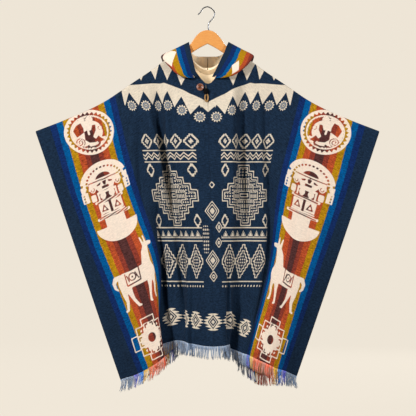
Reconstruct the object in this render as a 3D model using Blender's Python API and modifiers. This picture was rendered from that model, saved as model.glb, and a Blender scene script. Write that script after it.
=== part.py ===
"""A hooded poncho hanging on a wooden hanger.

Metres, +Z up, the front faces -Y. The origin is the inside of the hook's bend, where
the hanger hangs. The tables below are in millimetres. "across" is a place along the
cloth's width, counted from its middle, and "depth" is the distance towards the viewer,
or away from the viewer on the back.
"""

import math
import random

import bmesh
import bpy
import numpy as np
from mathutils import Vector

MM = 0.001
WALL = 2.2
SEAM = 0.3
HALF_WIDTH = 697.0
FRINGE_STRIP = 7.0
FRINGE_LENGTH = 44.0
BOARD_THICKNESS = 12.0
BOARD_GAP = 0.8
FOLD_PARTING = 0.55
HEM_PARTING = 1.3
ARM_CROWN = BOARD_THICKNESS / 2 + BOARD_GAP + WALL / 2
TIP_CROWN = 4.0
BUTTON_RADIUS = 13.5

# The fold over the shoulders, from the middle to the tip of the side.
SHOULDER = {
    "across": (0, 73, 108, 160, 214, 288, 355, 412, 468, 577, 697),
    "x": (0, 89, 119, 167, 206, 272, 323, 370, 418, 516, 630),
    "z": (-137, -150, -170, -203, -232, -276, -311, -342, -368, -411, -455),
}

# How far the neck hole is cut down from that fold, in the front and in the back.
NECK = {
    "across": (0, 10, 22, 37, 55, 66, 74, 81),
    "front": (152, 147, 130, 102, 54, 26, 9, 0),
    "back": (103, 100, 92, 75, 45, 24, 9, 0),
}

# Warp lines of the front panel at a third of its length, at two thirds, and at the hem.
FRONT = (
    # across, x1, depth1, x2, depth2, x3, z3, depth3
    (-697, -526, 12, -423, 14, -319, -1364, 16),
    (-657, -496, 14, -393, 20, -292, -1354, 34),
    (-617, -466, 16, -364, 32, -263, -1343, 62),
    (-566, -422, 20, -321, 46, -224, -1322, 96),
    (-511, -376, 24, -278, 62, -184, -1296, 118),
    (-467, -338, 28, -237, 72, -158, -1275, 122),
    (-431, -308, 30, -208, 74, -159, -1262, 102),
    (-394, -281, 29, -190, 68, -179, -1255, 72),
    (-358, -254, 25, -178, 52, -186, -1245, 46),
    (-328, -234, 22, -173, 36, -172, -1236, 32),
    (-296, -210, 25, -164, 27, -139, -1225, 32),
    (-256, -184, 33, -144, 33, -106, -1218, 52),
    (-219, -166, 27, -122, 44, -85, -1220, 76),
    (-182, -151, 30, -99, 48, -73, -1225, 88),
    (-146, -133, 40, -77, 62, -65, -1228, 80),
    (-117, -115, 48, -58, 70, -57, -1229, 70),
    (-73, -73, 56, -35, 78, -31, -1233, 84),
    (-29, -24, 56, -4, 84, -2, -1236, 104),
    (22, 26, 56, 35, 86, 38, -1236, 112),
    (66, 68, 58, 64, 80, 69, -1233, 100),
    (102, 93, 54, 88, 66, 80, -1231, 72),
    (146, 122, 38, 111, 50, 69, -1234, 46),
    (190, 148, 27, 141, 43, 65, -1240, 31),
    (226, 170, 33, 166, 47, 82, -1247, 34),
    (263, 192, 36, 188, 52, 106, -1255, 54),
    (307, 221, 30, 210, 46, 130, -1264, 74),
    (358, 254, 33, 223, 36, 144, -1268, 74),
    (405, 285, 35, 235, 41, 155, -1273, 66),
    (460, 327, 32, 270, 56, 182, -1286, 80),
    (511, 372, 28, 296, 62, 214, -1300, 88),
    (566, 425, 22, 334, 53, 250, -1318, 76),
    (617, 472, 17, 375, 36, 282, -1329, 50),
    (657, 503, 14, 403, 24, 305, -1341, 28),
    (697, 531, 12, 429, 14, 327, -1352, 12),
)

# The back panel hangs in softer pleats behind it.
BACK = (
    # across, x1, depth1, x2, depth2, x3, z3, depth3
    (-697, -525, 12, -421, 14, -314, -1358, 12),
    (-630, -474, 16, -370, 28, -262, -1340, 34),
    (-560, -416, 24, -312, 44, -205, -1312, 66),
    (-490, -358, 30, -258, 48, -172, -1290, 74),
    (-420, -304, 26, -212, 32, -148, -1272, 44),
    (-350, -250, 22, -170, 24, -122, -1252, 26),
    (-280, -202, 28, -136, 38, -92, -1232, 52),
    (-210, -158, 36, -104, 50, -70, -1218, 76),
    (-140, -112, 36, -70, 44, -44, -1214, 58),
    (-70, -60, 34, -34, 34, -14, -1214, 32),
    (0, 0, 34, 2, 38, 10, -1216, 34),
    (70, 60, 38, 40, 52, 34, -1222, 66),
    (140, 112, 36, 76, 50, 66, -1234, 78),
    (210, 158, 28, 110, 34, 96, -1256, 48),
    (280, 202, 24, 142, 24, 120, -1288, 28),
    (350, 252, 28, 178, 32, 148, -1320, 40),
    (420, 306, 32, 216, 46, 182, -1344, 68),
    (490, 360, 30, 262, 50, 212, -1352, 74),
    (560, 418, 24, 316, 42, 248, -1348, 56),
    (630, 478, 16, 374, 26, 288, -1348, 30),
    (697, 529, 12, 427, 14, 323, -1346, 10),
)

# The thrown-back hood, left half, from its front base round to the middle of the back:
# where the section leaves the neck, its outer fold and its free face edge.
HOOD = (
    # side, across, lift, fold_x, fold_y, fold_z, edge_x, edge_y, edge_z, bulge
    ("front", 36, 2, -52, -36, -261, -41, -35, -257, 2),
    ("front", 44, 4, -80, -39, -259, -47, -39, -230, 4),
    ("front", 55, 6, -110, -40, -247, -54, -36, -198, 5),
    ("front", 66, 6, -141, -30, -217, -60, -26, -166, 6),
    ("front", 74, 7, -161, -13, -192, -66, -13, -138, 6),
    ("front", 81, 7, -166, 6, -188, -68, 3, -127, 5),
    ("back", 74, 7, -160, 28, -204, -68, 22, -136, 8),
    ("back", 62, 7, -136, 50, -268, -60, 46, -162, 11),
    ("back", 40, 7, -92, 66, -340, -40, 66, -174, 14),
    ("back", 14, 7, -32, 70, -368, -14, 72, -175, 14),
)

HOOK = (
    # x, z of the wire's middle, from the free tip to the foot in the wood
    (-35.0, -27.0),
    (-26.3, -17.5),
    (-17.9, -5.1),
    (-8.0, 0.8),
    (1.8, 2.2),
    (14.6, -3.7),
    (23.0, -12.1),
    (26.3, -23.0),
    (23.0, -34.3),
    (14.6, -45.6),
    (6.2, -55.5),
    (3.3, -63.9),
    (3.3, -82.0),
)

# The right half of the hanger's outline; the left half mirrors it.
ARM = (
    # x, z
    (0.0, -83.5),
    (12.0, -85.0),
    (26.0, -91.0),
    (38.0, -101.0),
    (52.0, -119.0),
    (66.0, -138.5),
    (88.0, -155.3),
    (118.0, -175.3),
    (166.0, -208.5),
    (205.0, -238.0),
    (217.0, -249.0),
    (220.0, -258.0),
    (214.0, -268.0),
    (203.0, -268.0),
    (160.0, -240.0),
    (110.0, -206.0),
    (62.0, -170.0),
    (30.0, -149.0),
    (0.0, -133.5),
)

COLOURS = {
    "navy": (0.012, 0.028, 0.062),
    "stripe": (0.28, 0.12, 0.03),
    "fringe": (0.20, 0.26, 0.40),
    "shell": (0.13, 0.05, 0.025),
    "cord": (0.50, 0.30, 0.15),
    "whipping": (0.01, 0.01, 0.012),
    "wood": (0.86, 0.38, 0.12),
    "steel": (0.42, 0.42, 0.42),
}


def smooth(stations, values, at):
    """Values at new stations, along a smooth curve through a table's own."""
    stations = np.asarray(stations, float)
    values = np.asarray(values, float)
    at = np.asarray(at, float)
    slopes = np.gradient(values, stations, axis=0)
    last = len(stations) - 2
    low = np.clip(np.searchsorted(stations, at, side="right") - 1, 0, last)
    width = stations[low + 1] - stations[low]
    s = (at - stations[low]) / width
    if values.ndim > 1:
        width = width[..., None]
        s = s[..., None]
    return (
        (1 + 2 * s) * (1 - s) ** 2 * values[low]
        + s * (1 - s) ** 2 * width * slopes[low]
        + s * s * (3 - 2 * s) * values[low + 1]
        + s * s * (s - 1) * width * slopes[low + 1]
    )


def warp_line(table, way, across):
    """One line of the cloth from the shoulder fold to the hem, in fine steps.

    way is -1 for the front and 1 for the back."""
    rows = np.array(table, float)
    row = smooth(rows[:, 0], rows[:, 1:], across)
    fold = abs(across)
    top_x = math.copysign(1, across) * smooth(SHOULDER["across"], SHOULDER["x"], fold)
    top_z = smooth(SHOULDER["across"], SHOULDER["z"], fold)
    crown = np.interp(fold, (0, 214, 300, HALF_WIDTH), (ARM_CROWN, ARM_CROWN, 6.5, TIP_CROWN))
    turn = np.radians(np.linspace(0, 90, 10))
    over = np.column_stack(
        [
            np.full(10, top_x),
            FOLD_PARTING + crown * np.sin(turn),
            top_z - crown * (1 - np.cos(turn)),
        ]
    )
    start = over[-1]
    drop = row[5] - start[2]
    stations = np.array((0, 1, 2, 3)) / 3
    places = np.array(
        [
            start,
            (row[0], row[1], start[2] + drop / 3),
            (row[2], row[3], start[2] + drop * 2 / 3),
            (row[4], row[6], row[5]),
        ]
    )
    down = smooth(stations, places, np.linspace(0, 1, 120))
    line = np.vstack([over, down[1:]])
    line[:, 1] *= way
    return line


def along(line, distances):
    """Points at distances along a line, running on straight past its end."""
    steps = np.linalg.norm(np.diff(line, axis=0), axis=1)
    travelled = np.concatenate([[0], np.cumsum(steps)])
    past = np.maximum(np.asarray(distances, float) - travelled[-1], 0)
    found = np.column_stack([np.interp(distances, travelled, line[:, i]) for i in range(3)])
    ahead = (line[-1] - line[-3]) / np.linalg.norm(line[-1] - line[-3])
    return found + past[:, None] * ahead


def length_of(line):
    return np.linalg.norm(np.diff(line, axis=0), axis=1).sum()


def neck_cut(side, across):
    cut = NECK[side]
    return float(np.interp(abs(across), NECK["across"], cut))


def columns_of(table):
    """The table's own stations, with more where the hem turns and round the neck hole."""
    found = [float(row[0]) for row in table]
    for low, high in zip(table[:-1], table[1:]):
        if abs(low[7] - high[7]) > 18:
            found.append((low[0] + high[0]) / 2)
    for station in NECK["across"]:
        for across in (station, -station):
            found = [other for other in found if abs(other - across) > 6]
            found.append(float(across))
    return sorted(set(found))


def sheet_object(name, places, wall, colour, roughness=0.9, metallic=0.0):
    """A grid of places in millimetres, made a wall of even thickness."""
    places = np.asarray(places, float)
    wide, tall = places.shape[:2]
    mesh = bpy.data.meshes.new(name)
    bm = bmesh.new()
    bmesh.ops.create_grid(bm, x_segments=wide - 1, y_segments=tall - 1, size=1)
    for vert in bm.verts:
        i = round((vert.co.x + 1) / 2 * (wide - 1))
        j = round((1 - vert.co.y) / 2 * (tall - 1))
        vert.co = Vector(places[i, j]) * MM
    bm.to_mesh(mesh)
    bm.free()
    obj = add_object(name, mesh, colour, roughness, metallic)
    thicken(obj, wall)
    return obj


def add_object(name, data, colour, roughness=0.9, metallic=0.0):
    material = bpy.data.materials.new(name)
    material.use_nodes = True
    shader = material.node_tree.nodes["Principled BSDF"]
    shader.inputs["Base Color"].default_value = (*COLOURS[colour], 1)
    shader.inputs["Roughness"].default_value = roughness
    shader.inputs["Metallic"].default_value = metallic
    data.materials.append(material)
    obj = bpy.data.objects.new(name, data)
    PARTS.objects.link(obj)
    if hasattr(data, "shade_smooth"):
        data.shade_smooth()
    return obj


def thicken(obj, wall):
    solid = obj.modifiers.new("Wall", "SOLIDIFY")
    solid.thickness = wall * MM
    solid.offset = 0
    solid.use_even_offset = True
    solid.use_quality_normals = True


def cloth_panel(name, table, way, rows):
    side = "front" if way < 0 else "back"
    shares = np.array(rows)
    places = []
    for across in columns_of(table):
        line = warp_line(table, way, across)
        cut = neck_cut(side, across)
        whole = length_of(line)
        places.append(along(line, cut + (whole - cut) * shares))
    return sheet_object(name, places, WALL, "navy")


def fringe(name, table, way, strands, seed):
    """A strip under the hem whose lower side runs out in strands."""
    chance = random.Random(seed)
    edges = np.linspace(-HALF_WIDTH, HALF_WIDTH, 2 * strands)
    mesh = bpy.data.meshes.new(name)
    bm = bmesh.new()
    bmesh.ops.create_grid(bm, x_segments=len(edges) - 1, y_segments=1, size=1)
    lines = [warp_line(table, way, across) for across in edges]
    for vert in bm.verts:
        i = round((vert.co.x + 1) / 2 * (len(edges) - 1))
        lower = vert.co.y < 0
        past = HEM_PARTING + (FRINGE_STRIP if lower else 0)
        vert.co = Vector(along(lines[i], [length_of(lines[i]) + past])[0]) * MM
    bm.verts.ensure_lookup_table()
    low_edges = [e for e in bm.edges if len(e.link_faces) == 1]
    low_edges = [e for e in low_edges if abs(e.verts[0].index - e.verts[1].index) == 1]
    bottom = sorted(low_edges, key=lambda e: min(v.index for v in e.verts))
    bottom = bottom[: len(edges) - 1][::2]
    for edge in bottom:
        left, right = sorted((v.index for v in edge.verts))
        made = bmesh.ops.extrude_edge_only(bm, edges=[edge])
        tips = [g for g in made["geom"] if isinstance(g, bmesh.types.BMVert)]
        middle = (tips[0].co + tips[1].co) / 2
        hang = Vector((chance.uniform(-0.10, 0.10), chance.uniform(-0.05, 0.05), -1))
        hang *= FRINGE_LENGTH * chance.uniform(0.86, 1.08) * MM
        for tip in tips:
            tip.co = middle + (tip.co - middle) * 0.45 + hang
        bm.verts.ensure_lookup_table()
    bm.to_mesh(mesh)
    bm.free()
    obj = add_object(name, mesh, "fringe")
    thicken(obj, WALL)
    return obj


def hood_section(row, steps, hand):
    """One section of the hood, from the neck seam to the face edge; hand is -1 on the left."""
    side, across, lift, *rest = row
    fold = np.array(rest[0:3], float)
    edge = np.array(rest[3:6], float)
    bulge = rest[6]
    way = -1 if side == "front" else 1
    table = FRONT if side == "front" else BACK
    seam_at = []
    for inward in (1.6, 7.0):
        here = max(across - inward * np.interp(across, (36, 80), (0.2, 1)), 0)
        cut = neck_cut(side, across)
        rise = inward * np.interp(across, (36, 66, 80), (1, 0.7, 0))
        seam_at.append(along(warp_line(table, way, hand * here), [max(cut - rise, 0)])[0])
    seam_at = np.array(seam_at) * (-hand, 1, 1)
    out = np.array((-1.0 if across > 30 else -0.3, way * 0.8, 0.45))
    out /= np.linalg.norm(out)
    turn = seam_at[1] + out * lift
    leg = fold - turn
    over = turn + leg * 0.45 + out * lift * 0.8
    back_leg = edge - fold
    top = fold + back_leg * 0.5 + out * bulge + np.array((0, 0, bulge * 0.5))
    lip = fold + out * 5 + np.array((0, 0, 6.0))
    stations = (0, 0.07, 0.16, 0.36, 0.52, 0.60, 0.80, 1)
    places = np.array([seam_at[0], (seam_at[1] + turn) / 2, turn, over, fold, lip, top, edge])
    return smooth(stations, places, steps)


def hood_half(name, hand, meridians, steps):
    sections = np.array([hood_section(row, np.array(steps), hand) for row in HOOD])
    stations = np.arange(len(HOOD), dtype=float)
    # One more row past the middle keeps the two halves square to each other at the seam.
    past = sections[-1] * (-1, 1, 1)
    sections = np.concatenate([sections, past[None]])
    stations = np.append(stations, stations[-1] + 0.9)
    middle = len(HOOD) - 1 + 0.45
    places = []
    for at in np.linspace(0, middle, meridians):
        places.append(smooth(stations, sections, at).copy())
    places = np.array(places)
    places[-1, :, 0] = -SEAM
    if hand > 0:
        places[:, :, 0] *= -1
        places = places[::-1]
    return sheet_object(name, places, WALL, "stripe")


def curve_object(name, places, radius, colour, roughness, metallic, cyclic=False):
    curve = bpy.data.curves.new(name, "CURVE")
    curve.dimensions = "3D"
    curve.bevel_depth = radius * MM
    curve.bevel_resolution = 2
    curve.use_fill_caps = True
    spline = curve.splines.new("POLY")
    spline.points.add(len(places) - 1)
    for point, place in zip(spline.points, places):
        point.co = (*(Vector(place) * MM), 1)
    spline.use_cyclic_u = cyclic
    return add_object(name, curve, colour, roughness, metallic)


def hanger():
    outline = list(ARM)
    mirrored = [(-x, z) for x, z in reversed(outline[1:-1])]
    curve = bpy.data.curves.new("hanger_board", "CURVE")
    curve.dimensions = "2D"
    curve.fill_mode = "BOTH"
    curve.extrude = (BOARD_THICKNESS / 2 - 2.5) * MM
    curve.bevel_depth = 2.5 * MM
    curve.bevel_resolution = 1
    curve.offset = -2.5 * MM
    spline = curve.splines.new("POLY")
    points = outline + mirrored
    spline.points.add(len(points) - 1)
    for point, (x, z) in zip(spline.points, points):
        point.co = (x * MM, z * MM, 0, 1)
    spline.use_cyclic_u = True
    board = add_object("hanger_board", curve, "wood", 0.35)
    board.rotation_euler = (math.pi / 2, 0, 0)
    wire = np.array(HOOK, float)
    travelled = np.arange(len(wire), dtype=float)
    fine = smooth(travelled, wire, np.linspace(0, len(wire) - 1, 37))
    places = [(x, 0, z) for x, z in fine]
    places[-1] = (places[-1][0], 0, ARM[0][1] + 0.4)
    curve_object("hanger_hook", places, 2.1, "steel", 0.3, 1.0)


def button():
    """A round of coconut shell with a raised rim and four holes."""
    mesh = bpy.data.meshes.new("button")
    bm = bmesh.new()
    bmesh.ops.create_cone(
        bm, cap_ends=True, segments=28, radius1=BUTTON_RADIUS * MM, radius2=BUTTON_RADIUS * MM, depth=3.6 * MM
    )
    face = max((f for f in bm.faces if len(f.verts) > 4), key=lambda f: f.normal.z)
    bmesh.ops.inset_region(bm, faces=[face], thickness=3.2 * MM)
    bmesh.ops.translate(bm, verts=face.verts, vec=(0, 0, -1.0 * MM))
    bm.to_mesh(mesh)
    bm.free()
    disc = add_object("button", mesh, "shell", 0.4)
    holes = bpy.data.meshes.new("button_holes")
    bm = bmesh.new()
    for x in (-2.6, 2.6):
        for y in (-2.6, 2.6):
            made = bmesh.ops.create_cone(
                bm, cap_ends=True, segments=10, radius1=1.2 * MM, radius2=1.2 * MM, depth=12 * MM
            )
            bmesh.ops.translate(bm, verts=made["verts"], vec=(x * MM, y * MM, 0))
    bm.to_mesh(holes)
    bm.free()
    cutter = bpy.data.objects.new("button_holes", holes)
    CUTTERS.objects.link(cutter)
    cutter.hide_render = True
    cutter.display_type = "WIRE"
    cut = disc.modifiers.new("Holes", "BOOLEAN")
    cut.object = cutter
    for obj in (disc, cutter):
        obj.location = (-26.9 * MM, -32.3 * MM, -294.0 * MM)
        obj.rotation_euler = (math.radians(90 - 8), 0, math.radians(-2))


def closure():
    """The cord that hangs from the neck's point: a short run, a whipped knot and a loop."""
    tab = [(-6, -30.9, -286.5), (-5.8, -32.2, -291.5), (-5.5, -35.4, -297), (-5.4, -37.9, -301.55)]
    curve_object("loop_cord", tab, 1.6, "cord", 0.8, 0)
    mesh = bpy.data.meshes.new("loop_knot")
    bm = bmesh.new()
    bmesh.ops.create_uvsphere(bm, u_segments=14, v_segments=9, radius=1)
    for vert in bm.verts:
        vert.co = Vector((vert.co.x * 7.4, vert.co.y * 5.5, vert.co.z * 8.4)) * MM
    bm.to_mesh(mesh)
    bm.free()
    knot = add_object("loop_knot", mesh, "whipping", 0.7)
    knot.location = (-5.4 * MM, -37.9 * MM, -310.3 * MM)
    loop = []
    for i in range(20):
        angle = 2 * math.pi * i / 20
        x = -3.4 + 6.0 * math.sin(angle)
        z = -336.0 + 15.0 * math.cos(angle)
        loop.append((x, -36.9 + 0.14 * (z + 320), z))
    curve_object("cord_loop", loop, 1.9, "cord", 0.8, 0, cyclic=True)


for old in list(bpy.data.objects):
    bpy.data.objects.remove(old, do_unlink=True)
PARTS = bpy.data.collections.new("poncho")
CUTTERS = bpy.data.collections.new("cutters")
for collection in (PARTS, CUTTERS):
    bpy.context.scene.collection.children.link(collection)
CUTTERS.hide_render = True

FRONT_ROWS = (0, 0.0045, 0.009, 0.0135, 0.025, 0.05, 0.09, 0.14, 0.20, 0.27, 0.34, 0.41)
FRONT_ROWS += (0.48, 0.55, 0.62, 0.69, 0.76, 0.83, 0.89, 0.95, 1)
BACK_ROWS = (0, 0.0045, 0.009, 0.0135, 0.03, 0.07, 0.13, 0.21, 0.30, 0.40, 0.50, 0.60, 0.70)
BACK_ROWS += (0.80, 0.90, 1)
cloth_panel("poncho_front", FRONT, -1, FRONT_ROWS)
cloth_panel("poncho_back", BACK, 1, BACK_ROWS)
fringe("fringe_front", FRONT, -1, 96, 3)
fringe("fringe_back", BACK, 1, 72, 5)
HOOD_STEPS = (0, 0.07, 0.16, 0.26, 0.36, 0.45, 0.52, 0.56, 0.60, 0.70, 0.80, 0.90, 1)
hood_half("hood_left", -1, 15, HOOD_STEPS)
hood_half("hood_right", 1, 15, HOOD_STEPS)
hanger()
button()
closure()
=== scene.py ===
"""A hooded poncho on a wooden hanger, with its cloth, fringe, closure and studio.

Metres, +Z up, the front faces -Y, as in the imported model. Tables and patterns are in
millimetres. "across" counts from the middle of the cloth, "down" from the fold over the
shoulders, both along the flat cloth.
"""

import math
import random

import bmesh
import bpy
import numpy as np
from mathutils import Matrix, Vector


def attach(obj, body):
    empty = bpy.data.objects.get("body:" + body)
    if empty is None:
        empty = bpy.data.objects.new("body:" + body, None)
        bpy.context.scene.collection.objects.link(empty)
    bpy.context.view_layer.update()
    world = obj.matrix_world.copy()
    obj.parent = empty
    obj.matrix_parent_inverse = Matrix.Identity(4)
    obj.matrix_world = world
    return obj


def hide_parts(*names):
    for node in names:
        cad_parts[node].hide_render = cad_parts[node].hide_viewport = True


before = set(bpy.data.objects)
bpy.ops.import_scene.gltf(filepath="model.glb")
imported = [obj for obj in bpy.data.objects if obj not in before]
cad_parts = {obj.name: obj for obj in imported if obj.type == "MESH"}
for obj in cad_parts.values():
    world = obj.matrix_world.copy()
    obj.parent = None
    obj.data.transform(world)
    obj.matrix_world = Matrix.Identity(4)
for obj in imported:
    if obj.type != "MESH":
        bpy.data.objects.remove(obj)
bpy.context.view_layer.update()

bl_info = {
    "name": "Hooded Poncho",
    "version": (1, 0, 0),
    "blender": (4, 5, 0),
    "location": "3D View > Sidebar > Poncho",
    "description": "Dresses a hanging poncho in striped and figured cloth, fringe and closure",
    "category": "Add Mesh",
}

MM = 0.001
WALL = 2.0
HALF_WIDTH = 697.0
BOARD_THICKNESS = 12.0
BOARD_GAP = 0.8
FOLD_PARTING = 0.55
ARM_CROWN = BOARD_THICKNESS / 2 + BOARD_GAP + 1.1
TIP_CROWN = 4.0

# Steps of a line of the cloth round the shoulder fold and down from it.
FOLD_STEPS, WARP_STEPS = 10, 120

# The fold over the shoulders, from the middle to the tip of the side.
SHOULDER = {
    "across": (0, 73, 108, 160, 214, 288, 355, 412, 468, 577, 697),
    "x": (0, 89, 119, 167, 206, 272, 323, 370, 418, 516, 630),
    "z": (-137, -150, -170, -203, -232, -276, -311, -342, -368, -411, -455),
}

# How far the neck hole is cut down from that fold, in the front and in the back.
NECK = {
    "across": (0, 10, 22, 37, 55, 66, 74, 81),
    "front": (152, 147, 130, 102, 54, 26, 9, 0),
    "back": (103, 100, 92, 75, 45, 24, 9, 0),
}

# Warp lines of the front panel at a third of its length, at two thirds, and at the hem.
FRONT = (
    # across, x1, depth1, x2, depth2, x3, z3, depth3
    (-697, -526, 12, -423, 14, -319, -1364, 16),
    (-657, -496, 14, -393, 20, -292, -1354, 34),
    (-617, -466, 16, -364, 32, -263, -1343, 62),
    (-566, -422, 20, -321, 46, -224, -1322, 96),
    (-511, -376, 24, -278, 62, -184, -1296, 118),
    (-467, -338, 28, -237, 72, -158, -1275, 122),
    (-431, -308, 30, -208, 74, -159, -1262, 102),
    (-394, -281, 29, -190, 68, -179, -1255, 72),
    (-358, -254, 25, -178, 52, -186, -1245, 46),
    (-328, -234, 22, -173, 36, -172, -1236, 32),
    (-296, -210, 25, -164, 27, -139, -1225, 32),
    (-256, -184, 33, -144, 33, -106, -1218, 52),
    (-219, -166, 27, -122, 44, -85, -1220, 76),
    (-182, -151, 30, -99, 48, -73, -1225, 88),
    (-146, -133, 40, -77, 62, -65, -1228, 80),
    (-117, -115, 48, -58, 70, -57, -1229, 70),
    (-73, -73, 56, -35, 78, -31, -1233, 84),
    (-29, -24, 56, -4, 84, -2, -1236, 104),
    (22, 26, 56, 35, 86, 38, -1236, 112),
    (66, 68, 58, 64, 80, 69, -1233, 100),
    (102, 93, 54, 88, 66, 80, -1231, 72),
    (146, 122, 38, 111, 50, 69, -1234, 46),
    (190, 148, 27, 141, 43, 65, -1240, 31),
    (226, 170, 33, 166, 47, 82, -1247, 34),
    (263, 192, 36, 188, 52, 106, -1255, 54),
    (307, 221, 30, 210, 46, 130, -1264, 74),
    (358, 254, 33, 223, 36, 144, -1268, 74),
    (405, 285, 35, 235, 41, 155, -1273, 66),
    (460, 327, 32, 270, 56, 182, -1286, 80),
    (511, 372, 28, 296, 62, 214, -1300, 88),
    (566, 425, 22, 334, 53, 250, -1318, 76),
    (617, 472, 17, 375, 36, 282, -1329, 50),
    (657, 503, 14, 403, 24, 305, -1341, 28),
    (697, 531, 12, 429, 14, 327, -1352, 12),
)

# The back panel hangs in softer pleats behind it.
BACK = (
    # across, x1, depth1, x2, depth2, x3, z3, depth3
    (-697, -525, 12, -421, 14, -314, -1358, 12),
    (-630, -474, 16, -370, 28, -262, -1340, 34),
    (-560, -416, 24, -312, 44, -205, -1312, 66),
    (-490, -358, 30, -258, 48, -172, -1290, 74),
    (-420, -304, 26, -212, 32, -148, -1272, 44),
    (-350, -250, 22, -170, 24, -122, -1252, 26),
    (-280, -202, 28, -136, 38, -92, -1232, 52),
    (-210, -158, 36, -104, 50, -70, -1218, 76),
    (-140, -112, 36, -70, 44, -44, -1214, 58),
    (-70, -60, 34, -34, 34, -14, -1214, 32),
    (0, 0, 34, 2, 38, 10, -1216, 34),
    (70, 60, 38, 40, 52, 34, -1222, 66),
    (140, 112, 36, 76, 50, 66, -1234, 78),
    (210, 158, 28, 110, 34, 96, -1256, 48),
    (280, 202, 24, 142, 24, 120, -1288, 28),
    (350, 252, 28, 178, 32, 148, -1320, 40),
    (420, 306, 32, 216, 46, 182, -1344, 68),
    (490, 360, 30, 262, 50, 212, -1352, 74),
    (560, 418, 24, 316, 42, 248, -1348, 56),
    (630, 478, 16, 374, 26, 288, -1348, 30),
    (697, 529, 12, 427, 14, 323, -1346, 10),
)

# The thrown-back hood, left half, from its front base round to the middle of the back:
# where the section leaves the neck, its outer fold and its free face edge.
HOOD = (
    # side, across, lift, fold_x, fold_y, fold_z, edge_x, edge_y, edge_z, bulge
    ("front", 36, 2, -52, -36, -261, -41, -35, -257, 2),
    ("front", 44, 4, -80, -39, -259, -47, -39, -230, 4),
    ("front", 55, 6, -110, -40, -247, -54, -36, -198, 5),
    ("front", 66, 6, -141, -30, -217, -60, -26, -166, 6),
    ("front", 74, 7, -161, -13, -192, -66, -13, -138, 6),
    ("front", 81, 7, -166, 6, -188, -68, 3, -127, 5),
    ("back", 74, 7, -160, 28, -204, -68, 22, -136, 8),
    ("back", 62, 7, -136, 50, -268, -60, 46, -162, 11),
    ("back", 40, 7, -92, 66, -340, -40, 66, -174, 14),
    ("back", 14, 7, -32, 70, -368, -14, 72, -175, 14),
)

# How far the blunt bag at the hood's back reaches past the last section, in sections.
BAG_WIDTH = 0.9

HOOD_SIDES = (
    # side, hand, how much the stripes narrow at the neck, and the pale figure's place from
    # the face edge, its section, its half-width and its half-height in sections
    ("left", -1, 0.2, (84, 3.7, 30, 1.15)),
    ("right", 1, 0.45, (62, 2.2, 15, 0.65)),
)

HOOK = (
    # x, z of the wire's middle, from the free tip to the foot in the wood
    (-35.0, -27.0),
    (-26.3, -17.5),
    (-17.9, -5.1),
    (-8.0, 0.8),
    (1.8, 2.2),
    (14.6, -3.7),
    (23.0, -12.1),
    (26.3, -23.0),
    (23.0, -34.3),
    (14.6, -45.6),
    (6.2, -55.5),
    (3.3, -63.9),
    (3.3, -82.0),
)

BUTTON = (
    # radius, height of the button's round profile, from its dish over the rim to its back
    (7.6, 0.3),
    (8.6, 0.7),
    (9.6, 1.5),
    (10.8, 2.0),
    (12.2, 1.8),
    (13.2, 0.9),
    (13.5, 0),
    (13.3, -0.9),
    (12.4, -1.6),
    (11.0, -1.8),
    (7.6, -1.8),
)
BUTTON_HOLE = 2.6

# The short cord's middle line above the knot, then the knot's middle, half height and turns.
CORD = ((-6, -30.9, -286.5), (-5.8, -32.2, -291.5), (-5.5, -35.4, -297), (-5.4, -37.9, -302.5))
KNOT_PLACE = (-6.2, -38.4, -309.8)
KNOT_HALF, KNOT_TURNS = 10.6, 11

# The right half of the hanger's outline; the left half mirrors it.
ARM = (
    # x, z
    (0.0, -83.5),
    (12.0, -85.0),
    (26.0, -91.0),
    (38.0, -101.0),
    (52.0, -119.0),
    (66.0, -138.5),
    (88.0, -155.3),
    (118.0, -175.3),
    (166.0, -208.5),
    (205.0, -238.0),
    (217.0, -249.0),
    (220.0, -258.0),
    (214.0, -268.0),
    (203.0, -268.0),
    (160.0, -240.0),
    (110.0, -206.0),
    (62.0, -170.0),
    (30.0, -149.0),
    (0.0, -133.5),
)


def smooth(stations, values, at):
    """Values at new stations, along a smooth curve through a table's own."""
    stations = np.asarray(stations, float)
    values = np.asarray(values, float)
    at = np.asarray(at, float)
    slopes = np.gradient(values, stations, axis=0)
    last = len(stations) - 2
    low = np.clip(np.searchsorted(stations, at, side="right") - 1, 0, last)
    width = stations[low + 1] - stations[low]
    s = (at - stations[low]) / width
    if values.ndim > 1:
        width = width[..., None]
        s = s[..., None]
    return (
        (1 + 2 * s) * (1 - s) ** 2 * values[low]
        + s * (1 - s) ** 2 * width * slopes[low]
        + s * s * (3 - 2 * s) * values[low + 1]
        + s * s * (s - 1) * width * slopes[low + 1]
    )


def warp_line(table, way, across):
    """One line of the cloth from the shoulder fold to the hem, in fine steps.

    way is -1 for the front and 1 for the back."""
    rows = np.array(table, float)
    row = smooth(rows[:, 0], rows[:, 1:], across)
    fold = abs(across)
    top_x = math.copysign(1, across) * smooth(SHOULDER["across"], SHOULDER["x"], fold)
    top_z = smooth(SHOULDER["across"], SHOULDER["z"], fold)
    crown = np.interp(fold, (0, 214, 300, HALF_WIDTH), (ARM_CROWN, ARM_CROWN, 6.5, TIP_CROWN))
    turn = np.radians(np.linspace(0, 90, FOLD_STEPS))
    over = np.column_stack(
        [
            np.full(FOLD_STEPS, top_x),
            FOLD_PARTING + crown * np.sin(turn),
            top_z - crown * (1 - np.cos(turn)),
        ]
    )
    start = over[-1]
    drop = row[5] - start[2]
    stations = np.array((0, 1, 2, 3)) / 3
    places = np.array(
        [
            start,
            (row[0], row[1], start[2] + drop / 3),
            (row[2], row[3], start[2] + drop * 2 / 3),
            (row[4], row[6], row[5]),
        ]
    )
    down = smooth(stations, places, np.linspace(0, 1, WARP_STEPS))
    line = np.vstack([over, down[1:]])
    line[:, 1] *= way
    return line


def travelled(line):
    """How far along a line each of its points lies."""
    steps = np.linalg.norm(np.diff(line, axis=0), axis=1)
    return np.concatenate([[0], np.cumsum(steps)])


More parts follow.
